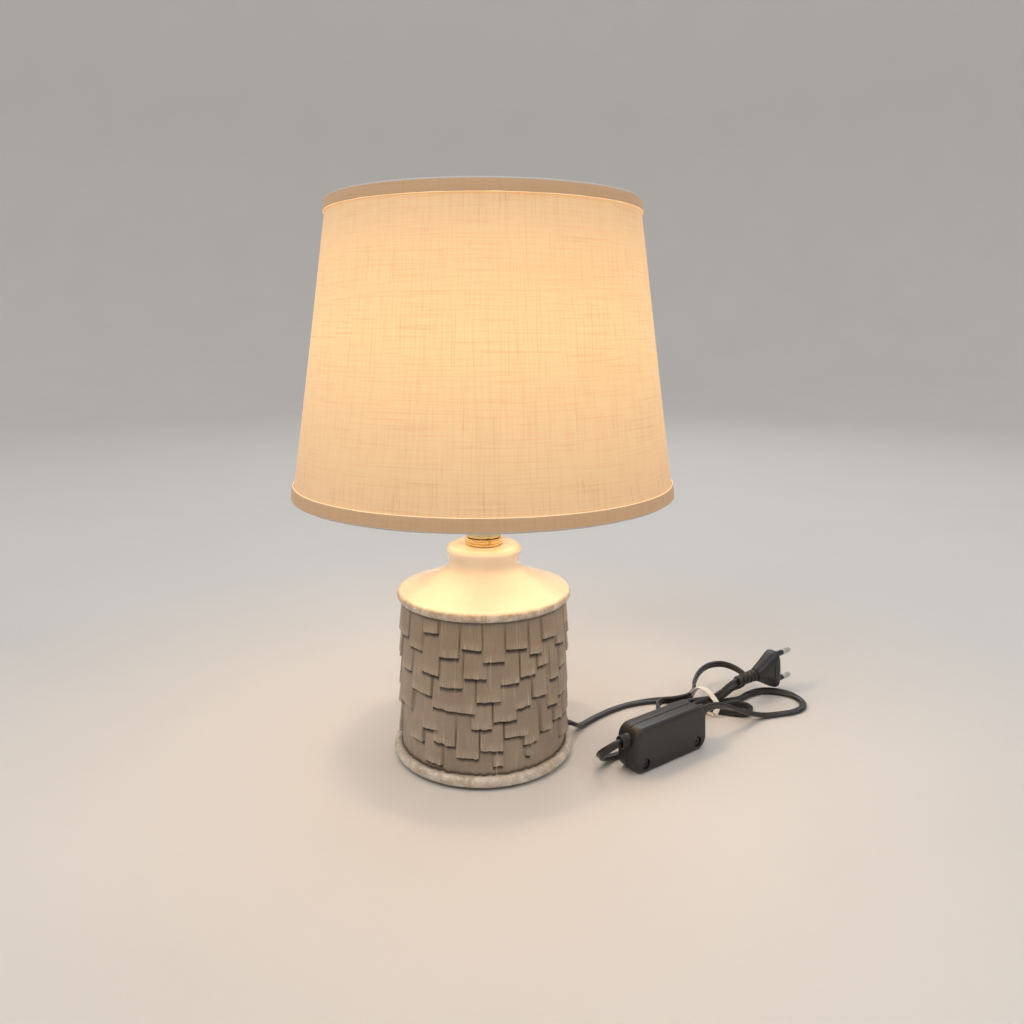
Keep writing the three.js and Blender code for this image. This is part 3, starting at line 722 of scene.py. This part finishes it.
def make_rocker():
    """The rocker's key: a saddle-shaped button with eased edges and three grip ribs at each end."""
    reach, half = ROCKER["length"] / 2, ROCKER["width"] / 2
    rings = []
    for z, inset in ((-half, 0.7), (-half + 0.25, 0.2), (-half + 0.8, 0), (half - 0.8, 0),
                     (half - 0.25, 0.2), (half, 0.7)):
        outline = []
        for x in np.linspace(-reach, reach, 57):
            saddle = 3.9 + 1.7 * (x / reach) ** 2
            rib = 0.35 if 8.6 < abs(x) < 13 and (abs(x) - 8.6) % 1.5 < 0.75 else 0.0
            outline.append([np.clip(x, -reach + inset, reach - inset), saddle + rib - inset, z])
        outline += [[reach - inset, -0.4, z], [3.6, -2.6, z], [-3.6, -2.6, z], [-reach + inset, -0.4, z]]
        rings.append(outline)
    mesh = tidy(grid_mesh("rocker_key", rings, caps=True))
    key = add("rocker_key", mesh, "rocker", "black_plastic", ["switch_rocker"])
    carve(key, [rod_along("Z", 1.45, -9, 9, (0, 0, 0))])
    spin(key, ROCKER["tilt"], "Z")
    move(key, y=ROCKER["pivot"])
    put(key, SWITCH)


# ---- Plug: X towards the pins, Z across them; the pins' face is at X = 0 ----
def superellipse(half_y, half_z, power, count=56):
    return [(half_y * math.copysign(abs(c) ** (2 / power), c),
             half_z * math.copysign(abs(s) ** (2 / power), s)) for c, s in unit_circle(count)]


def make_plug():
    # Along the plug, half its thickness, half its width, and how square its section is.
    stations = [
        (0.0, 5.2, 12.0, 3.2), (-0.35, 6.1, 12.9, 3.4), (-1.2, 6.6, 13.4, 3.6), (-3.2, 6.7, 13.5, 3.6),
        (-6, 6.5, 12.6, 3.2), (-9, 6.1, 11.2, 3.0), (-12, 5.8, 9.7, 2.8), (-15, 5.6, 8.2, 2.6),
        (-18, 5.3, 6.7, 2.4), (-21, 4.9, 5.4, 2.2), (-23, 4.5, 4.6, 2.0)]
    for rib in range(5):
        start = -23.6 - rib * 4
        outer = 4.25 - rib * 0.14
        stations += [
            (start, outer - 0.9, outer - 0.9, 2.0), (start - 1.3, outer - 0.9, outer - 0.9, 2.0),
            (start - 1.6, outer, outer, 2.0), (start - 3.3, outer - 0.1, outer - 0.1, 2.0)]
    stations += [(-43.6, 3.4, 3.4, 2.0), (-44, 2.9, 2.9, 2.0)]
    rings = [[(x, y, z) for y, z in superellipse(*section)] for x, *section in stations]
    mesh = tidy(grid_mesh("plug_moulding", rings, caps=True))
    moulding = add("plug_moulding", mesh, "base", "black_plastic", ["plug_body"])
    grips = [block((x - 0.4, y - 1, -5), (x + 0.4, y + 1, 5)) for x in (-7, -9.4, -11.8) for y in (-7, 7)]
    carve(moulding, grips)
    put(moulding, PLUG)
    pieces = [moulding]
    for number, side in enumerate((-1, 1), 1):
        sleeve_profile = [(0, -1), (1.96, -1), (1.96, 9.6), (1.75, 9.9), (0, 9.9)]
        pin_profile = [(0, 9.5), (2.0, 9.5), (2.0, 17.6), (1.5, 18.6), (0.9, 19), (0, 19)]
        sleeve = turned(f"pin_sleeve_{number}", sleeve_profile, "base", "black_plastic", (), 32, 0.1, False)
        node = f"plug_pin_{number}"
        pin = turned(f"contact_pin_{number}", pin_profile, "base", "nickel", [node], 32, 0.3, False)
        for piece in (sleeve, pin):
            spin(piece, math.pi / 2, "Y")
            move(piece, z=side * PIN_SPACING / 2)
            put(piece, PLUG)
            pieces.append(piece)
    return pieces


# ---- The flat twin cord: points are (x, y, z, lean), where a lean of 90 degrees is on its edge ----
def in_hank(*points):
    """Points of the tied bundle, given as (u, v, z, lean): u along it from the tie, v across it, towards
    the back. Without a lean, the cord stands on its edge."""
    (x0, y0), (x1, y1) = HANK["start"], HANK["end"]
    heading = math.atan2(y1 - y0, x1 - x0)
    c, s = math.cos(heading), math.sin(heading)
    route = []
    for u, v, z, *lean in points:
        route.append(((x0 + x1) / 2 + c * u - s * v, (y0 + y1) / 2 + s * u + c * v, z, *(lean or [90])))
    return route


BASE_LEAD = [
    (48, 10.2, 9.8, 0), (55.6, 11.8, 9.8, 0), (60, 13.6, 8.2, 0), (63.4, 18.4, 4.6, 0), (68, 25.4, 1.9, 0),
    (75, 34, FLAT, 0), (82, 41, FLAT, 0), (91, 49, FLAT, 0), (103, 57, FLAT, 0), (116, 62, FLAT, 10),
    (128, 63.8, 1.6, 30), (138.8, 62.2, 2.1, 60),
]
SUPPLY_LOOP = [
    (188.8, 67.8, FLAT, 10), (197, 74.5, 1.6, 30), (207, 79, 2.2, 60), (218, 78.5, 2.2, 60),
    (228, 73.5, 1.8, 30), (233, 63.5, FLAT, 0), (230, 53, FLAT, 0), (221, 46, FLAT, 0), (210, 42.5, FLAT, 0),
    (199, 39, 2.2, 0), (188.5, 34.5, 5.2, 0), (178, 28.5, 10.2, 0), (168.5, 22.5, 15.4, 30),
    (160, 16.9, 18.8, 70), (153.5, 12.2, 20, 90), (147.5, 7.7, 20, 90), (141, 2.9, 20, 90),
]
SWITCH_LEAD = [
    (92.6, -33.4, 20, 90), (85.8, -38.5, 20, 90), (81.5, -41.4, 19.4, 90), (76.6, -41.6, 16.4, 80),
    (73.6, -37.6, 11.8, 60), (74.4, -30.8, 7.2, 30), (79.4, -23.6, 3.4, 10), (87, -16.4, 1.6, 0),
    (97, -7.6, FLAT, 0), (107, 1.8, FLAT, 0), (114, 12, FLAT, 0), (117.5, 21, FLAT, 20), (122, 29, 1.7, 40),
]
RING_LOOP = [
    (183.6, 71, 8.3, 75), (192.5, 76.6, 9.2, 75), (197.4, 84.5, 11, 75), (192, 92.5, 14, 75),
    (182.5, 96.6, 16, 75), (172, 95, 15.6, 75), (163, 88, 13.4, 80), (156.6, 77, 10.2, 85),
    (153.8, 66, 8.6, 90),
]
PLUG_LEAD = [
    (163, 48.6, 9.6, 80), (171, 50.3, 13.2, 60), (177.5, 53.4, 16.9, 60), (182.7, 57, 18.4, 80),
    (188.6, 61.4, 18.5, 90),
]


def supply_route():
    through_tie = in_hank(
        (-7, 7.5, EDGE), (0, 4.1, EDGE), (7, 4.2, EDGE), (18, 6.6, 2.2, 60), (28, 9.6, 1.6, 20))
    return [*BASE_LEAD, *through_tie, *SUPPLY_LOOP]


def plug_route():
    first_pass = in_hank(
        (-28, -7.6, 2.2, 75), (-19, -4.6, EDGE), (-9, -0.4, EDGE), (0, 1.35, EDGE), (11, 0.6, EDGE),
        (20, 1.8, EDGE))
    right_fold = in_hank(
        (28, 2.2, EDGE), (34, -2.6, EDGE), (34.4, -9.6, EDGE), (28, -14, EDGE), (19, -11, EDGE),
        (9, -4.6, EDGE))
    second_pass = in_hank((0, -1.4, EDGE), (-9, -4.6, EDGE), (-15, -9.6, 3.2))
    left_fold = in_hank(
        (-20, -14.4, 4.6), (-26.4, -15.4, 6.4), (-30, -10.6, 7.8), (-27, -4.6, 8), (-20, -2.0, 8),
        (-11, 0.6, 7.9))
    third_pass = in_hank((0, 1.4, 7.9), (11, 2.6, 8), (21, 7, 8, 80))
    behind_tie = in_hank(
        (-4, 10.6, 8.2), (-12, 6.6, 8.6), (-21, 3.4, 9.6), (-30, 0.6, 10.8), (-36, -6, 10.8),
        (-36.5, -14, 10.0), (-30.5, -20, 9.2), (-22, -18.6, 8.6), (-14, -11, 8.2), (-7, -4.4, 8))
    last_pass = in_hank((0, -1.4, 8))
    return [*SWITCH_LEAD, *first_pass, *right_fold, *second_pass, *left_fold, *third_pass,
            *RING_LOOP, *behind_tie, *last_pass, *PLUG_LEAD]


def lay_cord(name, route, replaced):
    """A cord from its given route, lifted where it would dip into the table."""
    path = smooth_path(route, 1.1)
    on_edge = np.abs(np.sin(np.radians(path[:, 3])))
    resting = CORD_THICKNESS / 2 + (CORD_WIDTH - CORD_THICKNESS) / 2 * on_edge
    path[:, 2] = np.maximum(path[:, 2], resting + 0.05)
    mesh = swept(name, path, twin_section(CORD_WIDTH, CORD_THICKNESS), path[:, 3])
    cord = add(name, mesh, "base", "cord", replaced, 60)


def make_tie():
    """A plastic-covered strap: under the bundle, up behind it, over its top and down the front."""
    strap = [
        (163.4, 40.6, 0.75), (157.5, 48.5, 0.7), (152.2, 56.4, 0.8), (150.4, 59.4, 2.8), (150.6, 59.2, 7.2),
        (151.9, 56.8, 11.6), (153.3, 53.9, 14.8), (155.6, 51.7, 16.3), (159.0, 49.2, 15.7),
        (162.7, 46.0, 12.8), (165.2, 42.6, 9.2), (165.0, 40.6, 5.6), (163.4, 39.6, 3.0)]
    start, end = np.array(HANK["start"]), np.array(HANK["end"])
    along = np.append((end - start) / np.linalg.norm(end - start), 0)
    path = smooth_path(strap, 0.6)
    lowest = 1.15
    path[:, 2] = np.maximum(path[:, 2], lowest)
    mesh = swept("cable_tie_strap", path, superellipse(1.95, 0.8, 2.6, 24), None, along)
    add("cable_tie_strap", mesh, "base", "tie", ["cord_tie"])


def make_cords():
    switch_pieces = make_switch()
    plug_pieces = make_plug()
    lay_cord("supply_cord", supply_route(),
             ["base_lead", "supply_loop", "tied_hank"])
    lay_cord("plug_cord", plug_route(),
             ["switch_lead", "ring_loop", "plug_lead"])
    make_tie()


# ---- Ceramic base ----
COLUMNS = 440
TILE_LENGTH = 27.0
EDGE_BAND = 6.0  # how far the dry-brushed white reaches up from a tile's lower edge

# Shingle tiles listed round the front: (left, right) in degrees from the front, and the height
# of the lower edge's two ends in millimetres.
PLACED_TILES = [
    (-73, -57, 80, 83), (-56, -42, 78, 78), (-41, -29, 90, 91), (-28, -14, 77, 78), (-13, 0, 84, 83),
    (1, 15, 76, 76), (16, 31, 83, 82), (32, 42, 78, 77), (43, 57, 85, 84), (58, 71, 78, 76),
    (-69, -54, 61, 62), (-42, -28, 66, 65), (-27, -12, 59, 60), (-11, 4, 66, 66), (13, 25, 62, 62),
    (26, 37, 65, 65), (39, 49, 69, 69), (50, 61, 58, 57),
    (-53, -34, 53, 52), (-33, -4, 46, 45), (-3, 13, 52, 52), (22, 34, 46, 47), (35, 47, 51, 50),
    (48, 59, 42, 41),
    (-69, -53, 40, 39), (-41, -29, 31, 32), (-6, 7, 36, 36), (8, 23, 40, 40), (15, 31, 30, 29),
    (42, 53, 28, 27), (55, 67, 31, 29),
    (-54, -41, 22, 22), (-32, -17, 25, 24), (-16, -1, 18, 18), (0, 14, 23, 22), (28, 40, 23, 24),
    (-40, -26, 12, 11), (8, 14, 13, 13), (30, 34, 16, 16),
]


def all_tiles():
    """The placed tiles, and rows of random ones round the back."""
    tiles = list(PLACED_TILES)
    for height, angle, end in ((82, 70, 283), (64, 63, 280), (47, 60, 277), (31, 68, 281), (17, 65, 278)):
        while angle < end:
            width = BACK_TILES.choice((12, 13, 14, 15, 15, 26))
            low = height + BACK_TILES.uniform(-5.5, 5.5)
            tiles.append((angle, angle + width, low, low + BACK_TILES.uniform(-1, 1)))
            angle += width + 0.8
    return tiles


def ripple(phi, amplitude, harmonics, seed):
    """Gentle seeded unevenness round the piece."""
    chance = random.Random(seed)
    total = np.zeros_like(phi)
    for k in harmonics:
        total += np.sin(k * phi + chance.uniform(0, TAU)) * chance.uniform(0.5, 1)
    return amplitude * total / len(harmonics)


def tile_relief(phi, z):
    """Height of the shingles over the wall, and masks of their lower edges and of the painted shadows below.
    """
    relief = np.zeros((len(z), len(phi)))
    edge = np.zeros_like(relief)
    owner = np.full(relief.shape, -1)
    degrees = np.degrees(phi)
    fine = ripple(phi, 0.22, (61, 83, 97, 131, 149), 3) + ripple(phi, 0.15, (173, 191, 211), 4)
    chance = random.Random(11)
    placed_tiles = []
    for number, (left, right, low_left, low_right) in enumerate(all_tiles()):
        thick = chance.uniform(2.2, 2.8)
        tip = chance.uniform(-0.22, 0.22)
        position = (degrees - left) % 360
        width = right - left
        inside = position <= width
        share = np.where(inside, position / width, 0)
        low = low_left + (low_right - low_left) * share + fine * 0.9
        above = z[:, None] - low[None, :]
        side_distance = np.minimum(share, 1 - share) * math.radians(width) * WALL["radius"]
        groove = 0.14 * np.clip(1 - side_distance / 0.9, 0, 1)
        wedge = thick * (1 - above / TILE_LENGTH) + tip * (share - 0.5)[None, :] - groove[None, :]
        wedge = wedge * np.clip(above / 0.45, 0, 1) ** 0.5
        higher = inside[None, :] & (above > 0) & (above < TILE_LENGTH) & (wedge > relief)
        relief = np.where(higher, wedge, relief)
        edge = np.where(higher, np.clip(1 - above / EDGE_BAND, 0, 1), edge)
        owner = np.where(higher, number, owner)
        placed_tiles.append((inside, low, thick, above))

    # Painted shadow below each tile's lower edge, where that tile shows.
    painted_shadow = np.zeros_like(relief)
    for number, (inside, low, thick, above) in enumerate(placed_tiles):
        just_above = np.clip(np.searchsorted(z, low + 0.6), 0, len(z) - 1)
        showing = inside & (owner[just_above, np.arange(len(phi))] == number)
        drop = np.clip((thick - relief) / 1.1, 0, 1)
        shadow = np.clip(1.6 + above / 1.9, 0, 1) * drop
        below = showing[None, :] & (above <= 0.35) & (above > -3.1)
        painted_shadow = np.where(below, np.maximum(painted_shadow, shadow), painted_shadow)
    return relief, edge, painted_shadow


def cut_cord_hole(mesh):
    """Opens the wall where the cord leaves it, and turns every face outwards."""
    c, s = math.cos(CORD_HOLE["angle"]), math.sin(CORD_HOLE["angle"])
    shape = bmesh.new()
    shape.from_mesh(mesh)
    doomed = []
    for face in shape.faces:
        centre = face.calc_center_median() / MM
        along, off = centre.x * c + centre.y * s, -centre.x * s + centre.y * c
        if along > 40 and math.hypot(off, centre.z - CORD_HOLE["z"]) < CORD_HOLE["radius"] - 0.4:
            doomed.append(face)
    bmesh.ops.delete(shape, geom=doomed, context="FACES")
    bmesh.ops.recalc_face_normals(shape, faces=shape.faces)
    shape.to_mesh(mesh)
    shape.free()


def make_ceramic():
    phi = angles(COLUMNS)
    rows, masks = [], []

    def ring(radius, z, tiles=0.0, edge=0.0, painted_shadow=0.0, rim=0.0):
        rows.append(ring_points(radius, z, phi))
        masks.append(np.stack([np.broadcast_to(m, phi.shape) for m in (tiles, edge, painted_shadow, rim)], -1))

    lumps = ripple(phi, 0.30, (23, 31, 41, 53, 67), 5)
    for degrees in np.linspace(-100, 62, 17):
        a = math.radians(degrees)
        tube = FOOT_RIM["tube"] + lumps * max(0, math.sin(a + 0.6)) * 0.8
        ring(FOOT_RIM["radius"] + tube * math.cos(a), FOOT_RIM["z"] + tube * math.sin(a), rim=1.0)

    wavy = ripple(phi, 0.9, (19, 29, 37, 47, 59, 71), 6)
    start = WALL["bottom"] + wavy
    shares = np.linspace(0, 1, 216)
    relief, edge, painted_shadow = tile_relief(phi, np.linspace(WALL["bottom"], WALL["top"], len(shares)))
    for k, share in enumerate(shares):
        height = start * (1 - share) + WALL["top"] * share
        near_foot = np.clip((height - start) / 1.2, 0, 1)
        # Painted shade: the tiles' shadows, and darkening in the crease above the foot rim and under the
        # shoulder rim.
        shadow = np.maximum(painted_shadow[k], np.clip(1 - (height - start) / 2.0, 0, 1) * 0.8)
        shadow = np.maximum(shadow, np.clip((share - 0.975) / 0.02, 0, 1) * 0.8)
        ring(WALL["radius"] + relief[k] * near_foot, height, 1.0, edge[k], shadow, 0.0)

    grain = ripple(phi, 0.16, (43, 61, 79, 89), 9)
    for degrees in np.linspace(-66, 84, 15):
        a = math.radians(degrees)
        tube = SHOULDER_RIM["tube"] + grain * max(0, math.cos(a - 0.1))
        rim = 1.0 if degrees < 30 else max(0.0, 1 - (degrees - 30) / 35)
        ring(SHOULDER_RIM["radius"] + tube * math.cos(a), SHOULDER_RIM["z"] + tube * math.sin(a), rim=rim)

    top = rounded([
        (54.0, 106.35), (42, 110.9), (30, 116.3), (24.6, 119.6), (22.7, 123.8), (24.9, 129.9), (25.15, 131.8),
        (22.8, NECK_TOP), (6.4, NECK_TOP), (5.7, NECK_TOP - 0.6), (5.7, 124)], 3.2, False, 6)
    for r, height in top[1:]:
        ring(r, height)
    inside = [(16.5, 124), (16.5, 117), (30, 110.4), (44, 104.2), (49.4, 97), (49.7, 60), (49.8, 9), (51, 6),
              (51, 1.5)]
    for r, height in inside:
        ring(r, height, rim=0.6)

    heights = np.array([row[:, 2].mean() for row in [*rows, rows[0]]])
    uv = unrolled(WALL["radius"], COLUMNS, heights)
    mesh = grid_mesh("ceramic_body", rows, wrap_rows=True, uv=uv)
    values = np.concatenate(masks)
    for index, name in enumerate(("tiles", "edge", "painted_shadow", "rim")):
        attribute = mesh.attributes.new(name, "FLOAT", "POINT")
        attribute.data.foreach_set("value", values[:, index].astype(float))
    cut_cord_hole(mesh)
    add("ceramic_body", mesh, "base", "glaze", ["ceramic_base"], 50)


def make_pads():
    """Thin felt discs stuck under the foot rim."""
    for i in range(4):
        angle = math.radians(PAD["first"] + 90 * i)
        r = PAD["radius"]
        disc = [(0.01, 0), (r - 0.2, 0), (r, 0.25), (r, 1.5), (0.01, 1.5)]
        pad = turned(f"felt_pad_{i + 1}", disc, "base", "felt", [f"foot_pad_{i + 1}"], 40, 0.1, False)
        move(pad, PAD["circle"] * math.cos(angle), PAD["circle"] * math.sin(angle))


def make_grommet():
    profile = [(2.9, 47.6), (5.2, 47.6), (5.2, 48.9), (4.0, 49.2), (4.0, 55.0), (5.5, 55.3), (5.5, 56.3),
               (4.4, 57.2), (2.9, 57.2)]
    grommet = turned("cord_bushing", profile, "base", "black_plastic", ["cord_grommet"], 48, 0.35)
    spin(grommet, math.pi / 2, "Y")
    move(grommet, z=CORD_HOLE["z"])
    spin(grommet, CORD_HOLE["angle"], "Z")


# ---- Neck hardware and lampholder ----
def make_holder():
    beads = [(5.3, 0), (11.9, 0), (12.3, 0.5), (12.3, 1.1), (11.5, 1.5), (11.5, 1.8), (12.2, 2.1),
             (12.2, 2.8), (11.4, 3.2), (11.4, 3.5), (11.9, 3.8), (11.9, 4.5), (5.3, 4.6)]
    stack = raised(beads, NECK_TOP + 0.3)
    turned("brass_neck_ring", stack, "base", "brass", ["neck_ring"], 96, 0.18, sharp=60)
    cap = [(5.3, 139.7), (11.6, 139.7), (12.1, 140.4), (12.1, 152), (13.6, 155), (13.6, 159.9),
           (12.5, 159.9), (12.5, 155.6), (11, 152.4), (11, 141.3), (5.3, 141.3)]
    turned("brass_holder_cap", cap, "base", "brass", ["holder_cap"], 96, 0.4, sharp=60)
    shell = [(12.5, 160.3), (13.7, 160.3), (13.7, 177)]
    for turn in range(8):
        shell += raised([(13.2, 0), (13.2, 0.5), (13.75, 1.1), (13.75, 1.7)], 177.4 + turn * 2.5)
    shell += [(13.6, 198), (12.5, 198)]
    turned("lampholder_shell", shell, "base", "black_plastic", ["holder_shell"], 96, 0.25)

    def scallop(r, z, phi):
        """Ten finger dips round the outside; the bore stays round."""
        if r[0] < 17:
            return r
        dip = np.clip(np.cos(phi * 10) - 0.55, 0, 1) / 0.45
        return r - 1.3 * dip ** 0.8

    for name, node, bottom, body in (
            ("fixing_ring_lower", "shade_ring_lower", FITTER_Z - 4.5, "base"),
            ("fixing_ring_upper", "shade_ring_upper", FITTER_Z + 2.3, "shade_ring")):
        ring = raised([(14, 0), (19.4, 0), (20, 0.6), (20, 3.6), (19.4, 4.2), (14, 4.2)], bottom)
        turned(name, ring, body, "black_plastic", [node], 160, 0.3, radial=scallop)


# ---- Bulb ----
def make_bulb():
    thread = [(4.9, 173)]
    pitch, step = 2.82, 0.28
    for k in range(60):
        thread.append((6.55 + 0.42 * math.sin(TAU * k * step / pitch), 173.8 + k * step))
    thread += [(6.5, 191.7), (5.4, 191.7), (5.4, 175), (3.9, 173)]
    turned("bulb_screw_cap", thread, "bulb", "nickel", ["bulb_cap"], 64, 0.1, sharp=70)
    outer = [(6.5, 192), (7.6, 195), (9.6, 199.4)]
    for degrees in range(-50, 90, 7):
        a = math.radians(degrees)
        outer.append((BULB_RADIUS * math.cos(a), BULB_Z + BULB_RADIUS * math.sin(a)))
    outer.append((0.01, BULB_Z + BULB_RADIUS))
    glass = 0.9
    inner = [(max(r - glass, 0.01), z - (glass if z > BULB_Z else 0)) for r, z in reversed(outer)]
    mesh = revolve("frosted_globe", outer + inner, 96)
    globe = add("frosted_globe", mesh, "bulb", "bulb_glass", ["bulb_glass"], 80)
    globe.visible_shadow = False


# ---- Shade ----
SHADE_COLUMNS = 288


def shade_radius(z, inset=0.0):
    share = (z - SHADE_BOTTOM["z"]) / (SHADE_TOP["z"] - SHADE_BOTTOM["z"])
    return SHADE_BOTTOM["radius"] + share * (SHADE_TOP["radius"] - SHADE_BOTTOM["radius"]) - inset


def wall_of_shade(name, inset, thickness, rows, slot, node, sway):
    """A conical skin between the two trims, drum-tight but a little uneven."""
    bottom, top = SHADE_BOTTOM["z"] + TRIM_FOLD, SHADE_TOP["z"] - TRIM_FOLD
    phi = angles(SHADE_COLUMNS)
    heights = np.linspace(bottom, top, rows)
    points = []
    for layer, order in ((inset, heights), (inset + thickness, heights[::-1])):
        for z in order:
            share = (z - bottom) / (top - bottom)
            slack = sway * math.sin(math.pi * share)
            wave = slack * (0.5 * np.sin(7 * phi + 1) + 0.5 * np.sin(12 * phi + 2.3 + 2 * share) - 0.8)
            r = shade_radius(z, layer) + wave
            points.append(ring_points(r, z, phi))
    run = np.concatenate([heights, heights[::-1], heights[:1]])
    uv = unrolled(SHADE_MIDDLE, SHADE_COLUMNS, run)
    mesh = grid_mesh(name, points, wrap_rows=True, uv=uv)
    return add(name, mesh, "shade", slot, [node], 40)


def make_trim(edge, inward, name, node):
    """An edging tape folded over the rim: a soft rolled edge, a flat face, and a thin bead beside it."""
    # Where along the slant the radius is taken, how deep inside the shade's wall, and at what height.
    section = [
        (TRIM_HEIGHT, TRIM_THICKNESS - 0.2, TRIM_HEIGHT), (TRIM_HEIGHT, 0.15, TRIM_HEIGHT - 0.05),
        (6.8, -0.05, 6.8), (3.2, -0.1, 3.2), (0.6, 0, 0.6), (0, 1.3, -0.1), (0, 3.6, 0), (0, 5.9, 0.6),
        (0, 6.2, 1.0), (0, 5.0, 0.92), (0, 2.0, 0.92), (1.1, TRIM_THICKNESS, 1.1)]
    outline = []
    for along, inset, height in section:
        outline.append((shade_radius(edge + inward * along, inset), edge + inward * height))
    shape = rounded(outline, 0.8, True, 5)

    def gathers(r, z, phi):
        lift = 0.10 * np.sin(16 * phi + edge) + 0.07 * np.sin(39 * phi + 1)
        return r + lift * (1 if r[0] > shade_radius(z, 2.0) else 0)

    mesh = revolve(name, shape if inward < 0 else shape[::-1], SHADE_COLUMNS, True, gathers)
    tape = add(name, mesh, "shade", "trim", [node], 60)
    far = edge + inward * TRIM_HEIGHT
    profile = [(shade_radius(far + y, 0.55) + x, far + y) for x, y in round_section(0.3, 10)]
    bead = f"{name}_bead"
    # The bead carries the painted glow of lamp light leaking past the tape's edge.
    add(bead, revolve(bead, profile, SHADE_COLUMNS), "shade", "trim", (), 80, TRIM_BEAD_GLOW)
    return tape


def make_seam():
    """Where the linen's two ends lap over each other at the back."""
    bottom = SHADE_BOTTOM["z"] + TRIM_HEIGHT - 1
    top = SHADE_TOP["z"] - TRIM_HEIGHT + 1
    rows = []
    for z in np.linspace(bottom, top, 60):
        r = shade_radius(z, COVER_INSET)
        row = []
        for across, lift in (
                (-4.4, 0.02), (-4.2, 0.36), (-2.0, 0.42), (0, 0.44), (2.0, 0.42), (4.2, 0.36), (4.4, 0.02),
                (2.0, -0.3), (-2.0, -0.3)):
            a = math.pi + across / r
            row.append([(r + lift) * math.sin(a), -(r + lift) * math.cos(a), z])
        rows.append(row)
    mesh = tidy(grid_mesh("shade_seam", rows, caps=True))
    layer = mesh.uv_layers.new(name="UVMap")
    for loop in mesh.loops:
        place = mesh.vertices[loop.vertex_index].co
        layer.data[loop.index].uv = (place.x + 0.31, place.z)
    add("shade_seam", mesh, "shade", "linen", (), 50)


def make_shade():
    cover = wall_of_shade("linen_cover", COVER_INSET, 0.7, 70, "linen", "shade_cover", 0.22)
    wall_of_shade("inner_lining", LINING_INSET, 0.4, 30, "shade_lining", "shade_lining", 0.1)
    make_seam()
    trims = [
        make_trim(SHADE_TOP["z"], -1, "top_edging", "top_trim"),
        make_trim(SHADE_BOTTOM["z"], 1, "bottom_edging", "bottom_trim"),
    ]
    low_wire = SHADE_BOTTOM["z"] + TRIM_FOLD + WIRE_RADIUS
    high_wire = SHADE_TOP["z"] - TRIM_FOLD - WIRE_RADIUS
    for name, z in (("top_wire", high_wire), ("bottom_wire", low_wire)):
        radius = shade_radius(z, WIRE_INSET)
        profile = [(radius + x, z + y) for x, y in round_section(WIRE_RADIUS, 16)]
        add(name, revolve(name, profile, 192), "shade", "wire", [f"{name}_ring"])
    ring = [(14.3, FITTER_Z), (21.5, FITTER_Z), (21.5, FITTER_Z + 2), (14.3, FITTER_Z + 2)]
    turned("spider_ring", ring, "shade", "wire", ["fitter_ring"], 96, 0.5)
    arm_z = FITTER_Z + 1
    for i in range(3):
        route = [(20.6, arm_z), (50, arm_z), (84, arm_z - 1), (102, arm_z - 5.5), (112, low_wire + 2.6),
                 (shade_radius(low_wire, WIRE_INSET) - 0.6, low_wire)]
        angle = math.pi / 2 + i * TAU / 3
        points = [(r * math.cos(angle), r * math.sin(angle), z) for r, z in route]
        name = f"spider_wire_{i + 1}"
        mesh = swept(name, smooth_path(points, 1.5), round_section(WIRE_RADIUS, 14))
        add(name, mesh, "shade", "wire", [f"spider_arm_{i + 1}"])


# ---- CAD pieces that keep their shape ----
def finish_kept_nodes():
    slots = {part["node"]: part["material_slot"] for part in frame["record"]["subparts"]}
    for name, node in frame["nodes"].items():
        node.data.materials.clear()
        node.data.materials.append(MATERIALS[slots[name]])


# ---- Floor and lights ----
def make_stage():
    shader = Shader("floor", (0.66, 0.64, 0.61), 0.75)
    cloud = shader.solid_noise(6.0, 4)
    shader.color(cloud, (0.66, 0.64, 0.61), (0.70, 0.68, 0.65))
    flat, bend, top = 2200, 1200, 2600
    sweep = [(0, 0), (700, 0), (1500, 0), (flat, 0)]
    for a in np.linspace(0.1, math.pi / 2, 16):
        sweep.append((flat + bend * math.sin(a), bend - bend * math.cos(a)))
    sweep.append((flat + bend, top))
    floor = add("floor", revolve("floor", sweep, 128, False), None, None, (), 80, shader.material)

    world = bpy.data.worlds.new("room")
    world.use_nodes = True
    background = world.node_tree.nodes["Background"]
    background.inputs["Color"].default_value = (0.98, 0.98, 1.0, 1)
    background.inputs["Strength"].default_value = 0.75
    bpy.context.scene.world = world
    bpy.context.scene.view_settings.view_transform = "Standard"


def area_light(name, location, target, size, energy):
    data = bpy.data.lights.new(name, "AREA")
    data.shape = "DISK"
    data.size = size
    data.energy = energy
    light = in_scene(name, data)
    light.location = location
    light.rotation_euler = (Vector(target) - Vector(location)).to_track_quat("-Z", "Y").to_euler()


def make_lights():
    area_light("key", (-0.8, -0.9, 1.6), (0, 0, 0.15), 0.9, 7)
    area_light("fill", (1.3, -0.6, 1.2), (0.05, 0, 0.1), 1.0, 3.5)
    area_light("back", (0.3, 1.4, 1.4), (0, 0, 0.15), 1.0, 5)
    data = bpy.data.lights.new("bulb_light", "POINT")
    data.energy = 1.1
    data.color = (1.0, 0.68, 0.40)
    data.shadow_soft_size = BULB_RADIUS * MM
    in_scene("bulb_light", data).location = (0, 0, BULB_Z * MM)


make_camera()
make_cords()
make_rocker()
make_ceramic()
make_pads()
make_grommet()
make_holder()
make_bulb()
make_shade()
finish_kept_nodes()
make_stage()
make_lights()
